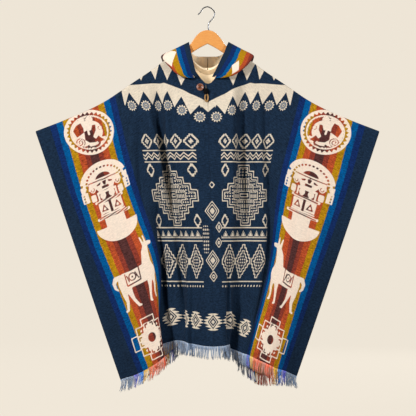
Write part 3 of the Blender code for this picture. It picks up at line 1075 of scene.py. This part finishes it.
def middle_pattern(look, u_signed, u, level):
    """Nested stepped shapes, zigzags, triangles and dots, above 0 where the yarn is pale."""
    depth = look.fact("middle")
    found = between(depth, 0, 3.8) | between(depth, 9.5, 12.5) | between(depth, 27, 31)
    found = found | between(depth, 51, 54) | between(depth, 60, 64) | (depth - 76)
    dots = 3.2 - length_of_pair(u.wave(5.5), level.wave(5.5))
    found = found | (dots & between(depth, 14.5, 25))
    dashes = (u.wave(4.2) - 1.7) & (level.wave(9) - 2.4)
    found = found | (dashes & between(depth, 33, 49.5))
    rows = between(abs(level - 526), -2, 2)
    for base in (568, 808, 856, 1004):
        rows = rows | (2.0 - abs(level - base))
    for base in (534, 546):
        rows = rows | (2.1 - abs(level - base - u.wave(14.5) * 0.9) * 0.75)
    triangle = (846 - level) & (level - 818 - u.wave(17) * 1.5)
    rows = rows | between(triangle, 0, 3.2) | (triangle - 6.5)
    rows = rows | (3.6 - length_of_pair(u.wave(8.2), level - 1020))
    found = found | (rows & between(u, 46, 312))
    column = look.fact("column")
    lozenges = between(column, 0, 3.6) | between(column, 8, 11.5) | (column - 17)
    beside, over = abs(u_signed + 29), abs(level - 850)
    dots = 3.0 - length_of_pair((u_signed + 29).wave(4.6), (level - 857).wave(7.0) * 0.75)
    dots = dots & (16 - beside) & between(over, 4, 50) & (36 - beside - over * 0.55)
    return found | lozenges | dots


def eye_pattern(u, from_hem):
    """Eye lozenges with spiked edges in a row above the hem."""
    beside = u.wave(EYE_STEP)
    over = abs(from_hem - EYE_ROW)
    depth = (1 - beside / EYE_WIDE - over / EYE_TALL) * 21
    found = between(depth, 0, 3.0) | between(depth, 7, 10) | (depth - 15)
    out = beside - (1 - over / EYE_TALL) * EYE_WIDE
    spikes = (out + 1) & (over.wave(5.6) * 4.2 - out)
    spikes = spikes & (EYE_TALL + 1 - over) & (EYE_STEP - 1 - beside)
    return (found | spikes) & (EYE_HALF - u)


WOVEN = {
    "Roughness": 0.95,
    "Sheen_Weight": 0.02,
    "Sheen_Roughness": 0.5,
    "Specular_IOR_Level": 0.08,
}


def front_look(name):
    """The striped cloth with its yoke, figures and borders in pale yarn."""
    look = Look(name, **WOVEN)
    u_signed, v, place = look.flat()
    u = abs(u_signed)
    level = look.fact("level")
    streak = look.noise(place, 420, 2, (1, 0.12, 1))
    cross = look.noise(place, 230, 2, (0.3, 1, 1))
    speckle = look.noise(place, 300, 3)
    mottle = look.noise(place, 12, 3)
    yarn = (streak - 0.5) * 0.9 + (cross - 0.5) * 1.9
    yarn = yarn + (speckle - 0.5) * 1.5 + (mottle - 0.5) * 0.5
    ragged = (speckle - 0.5) * 9
    # Down the panel the stripes lean towards the middle, more so on the left.
    left = (u_signed * -1).step(0, 1)
    lean = v.step(200.0, 960.0) * 21 + v.step(480.0, 960.0) * left * 20
    ground = look.ramp((u + lean + ragged) / BAND_REACH, band_stops())
    w = look.fact("yoke")
    tooth = 1 - (u.wave(REPEAT / 2) / (REPEAT / 2))
    tall = TOOTH_TALL - (u * -1).step(-24.0, -22.0) * (TOOTH_TALL - NECK_TOOTH_TALL)
    chevron = (w - CHEVRON_TOP) & (CHEVRON_FOOT - w + tooth * tall) & (CHEVRON_HALF - u)
    zigzag = (ZIGZAG_FOOT - w - tooth * ZIGZAG_TALL) & between(u, REPEAT, ZIGZAG_HALF)
    cell = (u / REPEAT).math("FLOOR")
    du = u - (cell + 0.5) * REPEAT
    inner = 2 - (cell & 2)
    dv = level - ROSETTE_LEVEL - inner * (18 + (inner - 1) * 3.5)
    far = length_of_pair(du, dv)
    petals = (dv.math("ARCTAN2", du) * 12).math("SINE") * 2.8
    bloom = (ROSETTE_RADIUS - far - petals) & (ROSETTE_HALF - u)
    pale = bloom & ((far - 12.6) | (between(far, 3.6, 5.8)))
    grey = bloom & (between(far, 7.8, 10.8) | (2.0 - far))
    eyes = eye_pattern(u, look.fact("from_hem"))
    figure = look.fact("figure").step(-0.6, 0.6)
    middle = middle_pattern(look, u_signed, u, level).step(-0.5, 0.5)
    colour = look.shade(ground, yarn + 1.0)
    light = look.shade(CREAM, yarn * 0.28 + 1.0)
    colour = look.blend(colour, light, (chevron | zigzag | pale | eyes).step(-0.5, 0.5))
    colour = look.blend(colour, tone(150, 158, 166), grey.step(-0.5, 0.5))
    colour = look.blend(colour, light, middle * 0.9)
    tinted = look.blend(look.shade(BAND_CREAM, yarn * 0.2 + 1.0), ground, 0.07)
    colour = look.blend(colour, tinted, figure)
    warp = (u_signed * 2.1).math("SINE")
    weft = (v * 2.1).math("SINE")
    height = look.bump(warp * weft * 0.4 + streak + speckle, 0.0009, 0.5)
    return look.finish(Base_Color=colour, Normal=height)


def lining_look(name, colour, other):
    """Pale reverse cloth, mottled between two colours."""
    look = Look(name, Roughness=0.95, Sheen_Weight=0.1, Specular_IOR_Level=0.2)
    place = look.cloth_place()
    streak = look.noise(place, 240, 2, (1, 0.08, 1))
    cross = look.noise(place, 200, 2, (0.1, 1, 1))
    mottle = look.noise(place, 14, 4)
    colour = look.blend(colour, other, mottle.step(0.4, 0.68))
    colour = look.shade(colour, streak * 0.22 + cross * 0.22 + 0.8)
    height = look.bump(streak + cross, 0.0008, 0.5)
    return look.finish(Base_Color=colour, Normal=height)


def hood_look(name, blob, squeeze):
    """The hood's striped cloth, with the part of a pale figure that shows on it."""
    look = Look(name, **WOVEN)
    place = look.cloth_place()
    streak = look.noise(place, 420, 2, (0.12, 1, 1))
    speckle = look.noise(place, 300, 3)
    yarn = (streak - 0.5) * 0.9 + (speckle - 0.5) * 1.3
    station = look.fact("station")
    narrow = 1.0 + (1 - station.step(0.0, 2.6)) * squeeze
    from_face = look.fact("from_face")
    ground = look.ramp((from_face * narrow + (speckle - 0.5) * 7) / HOOD_REACH, hood_stops())
    across, round_at, wide, tall = blob
    far = abs(from_face - across) / wide + abs(station - round_at) / tall
    figure = (far * -1).step(-1.04, -0.96)
    colour = look.shade(ground, yarn + 1.0)
    colour = look.blend(colour, look.shade(BAND_CREAM, yarn * 0.2 + 1.0), figure)
    height = look.bump(streak + speckle, 0.0009, 0.5)
    return look.finish(Base_Color=colour, Normal=height)


def fringe_look(name):
    """Each strand in a brighter tone of the stripe above it, with some pale and some dark ones."""
    look = Look(name, Roughness=0.85, Sheen_Weight=0.1)
    root = look.fact("root")
    lighter = {
        NAVY: tone(146, 168, 196),
        DARK_BLUE: tone(116, 120, 236),
        BLUE: tone(36, 152, 250),
        OLIVE: tone(255, 198, 26),
        ORANGE: tone(255, 122, 56),
        RUST: tone(255, 114, 70),
        BROWN: tone(234, 134, 98),
    }
    stops = [(place, lighter[colour]) for place, colour in band_stops()]
    ground = look.ramp((abs(root) + 18) / BAND_REACH, stops)
    chance = look.node("ShaderNodeTexWhiteNoise", {"noise_dimensions": "1D"}, {"W": root})
    colour = look.blend(ground, tone(238, 234, 228), chance.step(0.62, 0.95) * 0.6)
    dark = look.node("ShaderNodeTexWhiteNoise", {"noise_dimensions": "1D"}, {"W": root + 7.7})
    colour = look.blend(colour, tone(40, 58, 112), dark.step(0.75, 0.95) * 0.4)
    twist = look.noise(look.place(), 900, 2, (1, 1, 0.4))
    return look.finish(Base_Color=look.shade(colour, twist * 0.4 + 0.85))


def wire_look(name):
    """Bare bright wire."""
    look = Look(name, Roughness=0.28, Metallic=1.0)
    grain = look.noise(look.place(), 400, 2)
    return look.finish(Base_Color=look.shade(tone(132, 134, 138), grain * 0.4 + 0.8))


def wood_look(name):
    """Varnished pale wood with its grain along the arms."""
    look = Look(name, Roughness=0.32, Coat_Weight=0.4, Coat_Roughness=0.15)
    place = look.place()
    grain = look.noise(place, 60, 4, (1, 0.2, 6), 0.6)
    fine = look.noise(place, 300, 2, (0.4, 1, 6))
    colour = look.blend(tone(250, 176, 95), tone(235, 152, 76), grain.step(0.35, 0.7))
    colour = look.shade(colour, fine * 0.15 + 0.9)
    return look.finish(Base_Color=colour, Normal=look.bump(grain, 0.0003, 0.3))


def shell_look(name):
    """Polished coconut shell: a pink worn rim and a browner dish, with fine dark flecks."""
    look = Look(name, Roughness=0.35, Coat_Weight=0.3, Coat_Roughness=0.2)
    far = look.fact("far")
    fleck = look.noise(look.place(), 1400, 3, (1, 1, 0.3))
    cloud = look.noise(look.place(), 260, 2)
    colour = look.blend(tone(128, 68, 34), tone(160, 108, 88), far.step(8.0, 11.0))
    colour = look.blend(colour, tone(90, 44, 28), cloud.step(0.5, 0.7) * 0.6)
    colour = look.shade(colour, fleck * 0.6 + 0.7)
    return look.finish(Base_Color=colour, Normal=look.bump(fleck, 0.0002, 0.4))


def cord_look(name, colour, other, **more):
    """Spun yarn with lighter and darker fibres."""
    look = Look(name, Roughness=0.85, **more)
    fibre = look.noise(look.place(), 900, 3, (1, 1, 0.5))
    mixed = look.blend(colour, other, fibre.step(0.42, 0.62))
    return look.finish(Base_Color=mixed, Normal=look.bump(fibre, 0.0004, 0.6))


# Settings and operators.

# The front's mesh is finest between these two lines across, where the figures are.
BAND_FROM, BAND_TO = 345, 660
SELVEDGE = 960

# Columns and rows of the other cloths' meshes.
BACK_GRID = (241, 165)
HOOD_GRID = (110, 90)


class PonchoSettings(bpy.types.PropertyGroup):
    """Sizes that a user may change."""

    cell: bpy.props.FloatProperty(
        name="Cloth cell",
        description="Size of the front cloth's mesh",
        default=0.0039,
        min=0.003,
        unit="LENGTH",
    )
    strands: bpy.props.IntProperty(
        name="Fringe strands",
        description="Strands along each hem",
        default=760,
        min=60,
        max=900,
    )


class PONCHO_OT_front(bpy.types.Operator):
    """The front of the poncho, in its two halves"""

    bl_idname = "poncho.front"
    bl_label = "Front cloth"

    def execute(self, context):
        cell = context.scene.poncho.cell / MM
        plain = np.linspace(0, BAND_FROM, round(BAND_FROM / cell / 1.4))
        figured = np.linspace(BAND_FROM, BAND_TO, round((BAND_TO - BAND_FROM) / cell * 1.35))
        outside = np.linspace(BAND_TO, HALF_WIDTH, 8)
        half = np.concatenate([plain, figured[1:], outside[1:]])
        rows = round(SELVEDGE / cell)
        face = front_look("front_cloth")
        lining = lining_look("cloth_reverse", tone(250, 222, 178), tone(222, 202, 168))
        for name, stations in (("front_left", -half[::-1]), ("front_right", half)):
            mesh = panel_mesh(name, FRONT, -1, stations, rows, FRONT_CREASES)
            piece = new_piece(name, mesh, "cloth", face, lining)
            thicken(piece, WALL, 1)
            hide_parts("poncho_front")
        return {"FINISHED"}


class PONCHO_OT_back(bpy.types.Operator):
    """The back of the poncho"""

    bl_idname = "poncho.back"
    bl_label = "Back cloth"

    def execute(self, context):
        stations = np.linspace(HALF_WIDTH, -HALF_WIDTH, BACK_GRID[0])
        mesh = panel_mesh("back_panel", BACK, 1, stations, BACK_GRID[1], BACK_CREASES)
        looks = [bpy.data.materials[name] for name in ("front_cloth", "cloth_reverse")]
        piece = new_piece("back_panel", mesh, "cloth", *looks)
        thicken(piece, WALL, 1)
        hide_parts("poncho_back")
        return {"FINISHED"}


class PONCHO_OT_hood(bpy.types.Operator):
    """The thrown-back hood, in its two halves"""

    bl_idname = "poncho.hood"
    bl_label = "Hood"

    def execute(self, context):
        lining = lining_look("hood_lining", tone(252, 230, 190), tone(206, 196, 176))
        for side, hand, squeeze, blob in HOOD_SIDES:
            mesh = hood_mesh("hood_cloth_" + side, hand, *HOOD_GRID)
            look = hood_look("hood_" + side, blob, squeeze)
            piece = new_piece("hood_cloth_" + side, mesh, "hood_cloth", look, lining)
            thicken(piece, WALL, 1)
            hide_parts("hood_" + side)
        self.seam()
        self.tape()
        self.binding()
        return {"FINISHED"}

    def seam(self):
        """The ridge of the seam inside the hood. Its yarn is darker than the lining, partly as
        painted shade along the seam's line.
        """
        middle = hood_section(HOOD[-1], np.linspace(0.02, 0.985, 60), -1) * (0, 1, 1)
        # Darker yarn: partly painted shade in the seam's line.
        look = cord_look("seam_yarn_with_painted_shade", tone(158, 132, 98), tone(112, 90, 64))
        ridge = middle + (0, -1.9, 0)
        yarn_piece("hood_seam", ridge, 1.2, 8, (1, 0, 0), "hood_cloth", look)

    def tape(self):
        """The tape over the neck seam, just inside the back cloth. Its colour is darker than the
        lining, partly as painted shade along the neck seam.
        """
        places, flats = [], []
        for across in np.linspace(78, -78, 79):
            line = warp_line(BACK, 1, float(across))
            reach = neck_cut("back", across) + np.linspace(-5, 11, 9)
            rows = along(line, np.maximum(reach, 0.2))
            rows[:, 1] -= 2.4
            places.append(rows)
            flats.append(np.column_stack([np.full(9, across), reach]))
        mesh = grid_mesh("neck_tape", np.array(places), np.array(flats), {})
        # Darker tape: partly painted shade along the neck seam.
        cloth = lining_look("tape_cloth_with_painted_shade", tone(206, 178, 138), tone(166, 140, 106))
        tape = new_piece("neck_tape", mesh, "hood_cloth", cloth)
        thicken(tape, 0.9)

    def binding(self):
        """The bound front edge of the neck."""
        edge = []
        for across in np.linspace(-80, 80, 161):
            line = warp_line(FRONT, -1, float(across))
            edge.extend(along(line, [neck_cut("front", across)]))
        look = cord_look("binding_yarn", tone(20, 34, 52), tone(34, 54, 78))
        yarn_piece("neck_binding", np.array(edge), 1.5, 8, (0, 1, 0.3), "cloth", look)


class PONCHO_OT_fringe(bpy.types.Operator):
    """The fringe of loose warp ends under both hems"""

    bl_idname = "poncho.fringe"
    bl_label = "Fringe"

    def execute(self, context):
        strands = context.scene.poncho.strands
        look = fringe_look("fringe_yarn")
        for name, table, way, seed in (("front", FRONT, -1, 3), ("back", BACK, 1, 5)):
            mesh = fringe_mesh(name + "_fringe", table, way, strands, seed)
            piece = new_piece(name + "_fringe", mesh, "fringe", look)
            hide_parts("fringe_" + name)
        return {"FINISHED"}


class PONCHO_OT_hanger(bpy.types.Operator):
    """The wooden hanger and its wire hook"""

    bl_idname = "poncho.hanger"
    bl_label = "Hanger"

    def execute(self, context):
        self.board()
        self.hook()
        return {"FINISHED"}

    def board(self):
        """The flat wooden arms, with their edges rounded."""
        half = np.array(ARM, float)
        run = travelled(half)
        half = smooth(run, half, np.linspace(0, run[-1], 96))
        shape = np.vstack([half, half[-2:0:-1] * (-1, 1)])
        bm = bmesh.new()
        front = -BOARD_THICKNESS / 2 * MM
        face = bm.faces.new([bm.verts.new((x * MM, front, z * MM)) for x, z in shape])
        made = bmesh.ops.extrude_face_region(bm, geom=[face])
        moved = [item for item in made["geom"] if isinstance(item, bmesh.types.BMVert)]
        bmesh.ops.translate(bm, verts=moved, vec=(0, BOARD_THICKNESS * MM, 0))
        bmesh.ops.recalc_face_normals(bm, faces=bm.faces)
        sharp = [edge for edge in bm.edges if edge.calc_face_angle(0) > 1.0]
        rims = [edge for edge in sharp if abs(edge.verts[0].co.y - edge.verts[1].co.y) < 1e-6]
        rounding = {"offset": 2.6 * MM, "segments": 4, "profile": 0.5, "clamp_overlap": True}
        bmesh.ops.bevel(bm, geom=rims, affect="EDGES", material=-1, **rounding)
        bmesh.ops.triangulate(bm, faces=[face for face in bm.faces if len(face.verts) > 4])
        mesh = mesh_of(bm, "wooden_hanger")
        piece = new_piece("wooden_hanger", mesh, "wood", wood_look("hanger_wood"))
        piece.modifiers.new("Even shading", "WEIGHTED_NORMAL")
        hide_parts("hanger_board")

    def hook(self):
        """The wire from its free tip to its foot in the wood."""
        wire = np.array(HOOK, float)
        fine = smooth(np.arange(len(wire), dtype=float), wire, np.linspace(0, len(wire) - 1, 120))
        fine[-1, 1] = ARM[0][1] + 0.5
        thick = np.full(len(fine), 2.1)
        thick[:3] = (1.1, 1.8, 2.05)
        path = np.column_stack([fine[:, 0], np.zeros(len(fine)), fine[:, 1]])
        look = wire_look("hook_wire")
        piece = yarn_piece("wire_hook", path, thick, 16, (0, 1, 0), "steel", look)
        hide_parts("hanger_hook")


class PONCHO_OT_closure(bpy.types.Operator):
    """The button, and the cord, knot and loop that hang beside it"""

    bl_idname = "poncho.closure"
    bl_label = "Button and loop"

    def execute(self, context):
        self.button()
        self.cord()
        self.loop()
        self.knot()
        return {"FINISHED"}

    def button(self):
        """A turned shell button with four holes, and the thread that holds it."""
        bm = bmesh.new()
        mark = bm.verts.layers.float.new("far")
        lathe(bm, BUTTON, 56)
        floors = (BUTTON[0][1], BUTTON[-1][1])
        holes = [(x, y) for x in (-BUTTON_HOLE, BUTTON_HOLE) for y in (-BUTTON_HOLE, BUTTON_HOLE)]
        for x, y in holes:
            for z in floors:
                made = bmesh.ops.create_circle(bm, radius=1.3, segments=16)
                bmesh.ops.translate(bm, verts=made["verts"], vec=(x, y, z))
        for z in floors:
            rim = [edge for edge in bm.edges if len(edge.link_faces) < 2]
            rim = [edge for edge in rim if all(abs(vert.co.z - z) < 1e-4 for vert in edge.verts)]
            bmesh.ops.triangle_fill(bm, edges=rim, use_beauty=True)
        for x, y in holes:
            middle = Vector((x, y))
            loops = [edge for edge in bm.edges if edge.is_boundary]
            loops = [edge for edge in loops if (edge.verts[0].co.xy - middle).length < 1.5]
            bmesh.ops.bridge_loops(bm, edges=loops)
        bmesh.ops.recalc_face_normals(bm, faces=bm.faces)
        for vert in bm.verts:
            vert[mark] = math.hypot(vert.co.x, vert.co.y)
        turned = Matrix.Rotation(math.radians(-2), 4, "Z")
        turned = turned @ Matrix.Rotation(math.radians(82), 4, "X")
        place = Matrix.Translation((-0.0269, -0.0323, -0.294)) @ turned @ Matrix.Scale(MM, 4)
        bm.transform(place)
        mesh = mesh_of(bm, "shell_button")
        piece = new_piece("shell_button", mesh, "shell", shell_look("button_shell"))
        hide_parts("button")
        self.thread(place)

    def thread(self, place):
        """Two pairs of stitches through the button's holes."""
        paths = []
        for across in (-BUTTON_HOLE, BUTTON_HOLE):
            for beside in (-0.45, 0.45):
                rows = []
                for share in np.linspace(0, 1, 9):
                    lift = 0.95 - 3.2 * max(abs(share - 0.5) * 2 - 0.55, 0) ** 1.3 * 2
                    spot = place @ Vector((across + beside, -2.7 + 5.4 * share, lift))
                    rows.append((*(spot / MM), 0.5))
                paths.append((rows, 0))
        mesh = tube_mesh("button_thread", paths, 8, None, (1, 0, 0))
        look = cord_look("sewing_thread", tone(22, 22, 30), tone(46, 44, 54))
        new_piece("button_thread", mesh, "whipping", look)

    def cord(self):
        """The worn cord from the neck to the knot."""
        stations = np.linspace(0, len(CORD) - 1, 40)
        path = smooth(np.arange(float(len(CORD))), np.array(CORD), stations)
        worn = cord_look("neck_yarn", tone(128, 112, 92), tone(44, 40, 42))
        piece = twisted_piece("neck_cord", path, 1.6, 5.0, (0, 1, 0.2), worn)
        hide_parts("loop_cord")

    def loop(self):
        """The loop of cord under the knot."""
        angle = np.linspace(0, 2 * math.pi, 97)
        z = -333.5 + 14.0 * np.cos(angle)
        path = np.column_stack([-3.6 + 5.6 * np.sin(angle), -36.9 + 0.14 * (z + 320), z])
        tan = cord_look("cord_yarn", tone(186, 148, 96), tone(140, 98, 58))
        piece = twisted_piece("hanging_loop", path, 3.0, 8.0, (0, 1, 0), tan)
        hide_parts("cord_loop")

    def knot(self):
        """The whipping, wound round a core."""
        shades = tone(10, 9, 11), tone(24, 22, 26)
        black = cord_look("whipping_thread", *shades, Specular_IOR_Level=0.1)
        share = np.linspace(0, 1, KNOT_TURNS * 20 + 1)
        down = KNOT_HALF * (1 - 2 * share)
        girth = np.sqrt(np.maximum(1 - (down / 12.2) ** 2, 0))
        angle = 2 * math.pi * KNOT_TURNS * share
        helix = np.column_stack([9.3 * girth * np.cos(angle), 6.6 * girth * np.sin(angle), down])
        path = helix + KNOT_PLACE
        piece = yarn_piece("whipped_knot", path, 0.85, 8, (0, 0, 1), "whipping", black)
        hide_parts("loop_knot")
        rows = np.linspace(1, -1, 9)
        core = np.outer(rows, (0, 0, KNOT_HALF)) + KNOT_PLACE
        thick = 7.0 * np.sqrt(1.05 - rows**2)
        yarn_piece("knot_core", core, thick, 16, (0, 1, 0), "whipping", black)


LIGHTS = (
    # place, aim, width, power and spread; the neck light lies inside the collar
    ("key_light", (-3.7, -3.9, 2.1), (0, 0, -0.7), 0.8, 288, 180),
    ("fill_light", (3.9, -3.7, 0.6), (0, 0, -0.7), 1.2, 128, 180),
    ("neck_light", (0.0, -0.03, -0.235), (0.0, 0.05, -0.225), 0.07, 0.02, 150),
    ("back_light", (1.5, 4.4, 0.6), (0, 0, -0.7), 2.6, 170, 180),
)
STUDIO_FLOOR = -1.62

# How far off the camera is, where the cloth's front lies and how wide the picture is there.
CAMERA_FAR, CLOTH_NEAR, PICTURE_WIDE = 7.0, 0.04, 1.5184


class PONCHO_OT_stage(bpy.types.Operator):
    """The pale studio, its lights and its camera"""

    bl_idname = "poncho.stage"
    bl_label = "Studio"

    def execute(self, context):
        context.scene.view_settings.view_transform = "Standard"
        self.bowl()
        world = bpy.data.worlds.new("studio_world")
        world.use_nodes = True
        background = world.node_tree.nodes["Background"]
        background.inputs["Color"].default_value = (1.0, 0.985, 0.965, 1)
        background.inputs["Strength"].default_value = 0.19
        context.scene.world = world
        for row in LIGHTS:
            self.light(*row)
        lens = bpy.data.cameras.new("photo_camera")
        lens.sensor_width = 36
        lens.lens = 36 * (CAMERA_FAR - CLOTH_NEAR) / PICTURE_WIDE
        lens.clip_end = 60
        camera = place_object("photo_camera", lens)
        camera.location = (0.0018, -CAMERA_FAR, -0.7362)
        camera.rotation_euler = (math.pi / 2, 0, 0)
        context.scene.camera = camera
        return {"FINISHED"}

    def bowl(self):
        """A round paper backdrop that shines a little and takes no shadow or reflection."""
        look = Look(
            "studio_paper",
            Roughness=1.0,
            Specular_IOR_Level=0.0,
            Emission_Strength=0.97,
            Base_Color=tone(46, 44, 41),
            Emission_Color=tone(240, 231, 216),
        )
        turns = np.linspace(0, math.pi / 2, 9)
        corner = [(8.0 + 2.5 * math.sin(turn), 2.5 - 2.5 * math.cos(turn)) for turn in turns]
        profile = [(0.0, 0.0), (4.0, 0.0), *corner, (10.5, 14.0)]
        bm = bmesh.new()
        lathe(bm, [(far, height + STUDIO_FLOOR) for far, height in profile], 64)
        bmesh.ops.remove_doubles(bm, verts=bm.verts, dist=1e-5)
        mesh = mesh_of(bm, "studio_bowl")
        mesh.materials.append(look.material)
        mesh.shade_smooth()
        bowl = place_object("studio_bowl", mesh)
        bowl.visible_diffuse = False
        bowl.visible_glossy = False
        bowl.visible_shadow = False

    def light(self, name, spot, aim, size, power, spread):
        lamp = bpy.data.lights.new(name, "AREA")
        lamp.shape = "DISK"
        lamp.size = size
        lamp.energy = power
        lamp.spread = math.radians(spread)
        light = place_object(name, lamp)
        light.location = spot
        light.rotation_euler = (Vector(aim) - Vector(spot)).to_track_quat("-Z", "Y").to_euler()
        light.visible_camera = False
        light.visible_glossy = name != "neck_light"


class PONCHO_PT_panel(bpy.types.Panel):
    """Lists the poncho's pieces"""

    bl_idname = "PONCHO_PT_panel"
    bl_label = "Hooded poncho"
    bl_space_type = "VIEW_3D"
    bl_region_type = "UI"
    bl_category = "Poncho"

    def draw(self, context):
        self.layout.prop(context.scene.poncho, "cell")
        self.layout.prop(context.scene.poncho, "strands")
        for step in STEPS:
            self.layout.operator(step.bl_idname)


STEPS = (
    PONCHO_OT_stage,
    PONCHO_OT_front,
    PONCHO_OT_back,
    PONCHO_OT_hood,
    PONCHO_OT_fringe,
    PONCHO_OT_hanger,
    PONCHO_OT_closure,
)
CLASSES = (PonchoSettings, *STEPS, PONCHO_PT_panel)


def register():
    for kind in CLASSES:
        bpy.utils.register_class(kind)
    bpy.types.Scene.poncho = bpy.props.PointerProperty(type=PonchoSettings)


def unregister():
    del bpy.types.Scene.poncho
    for kind in reversed(CLASSES):
        bpy.utils.unregister_class(kind)


def main():
    register()
    bpy.ops.poncho.stage()
    bpy.ops.poncho.front()
    bpy.ops.poncho.back()
    bpy.ops.poncho.hood()
    bpy.ops.poncho.fringe()
    bpy.ops.poncho.hanger()
    bpy.ops.poncho.closure()


if __name__ == "__main__":
    main()
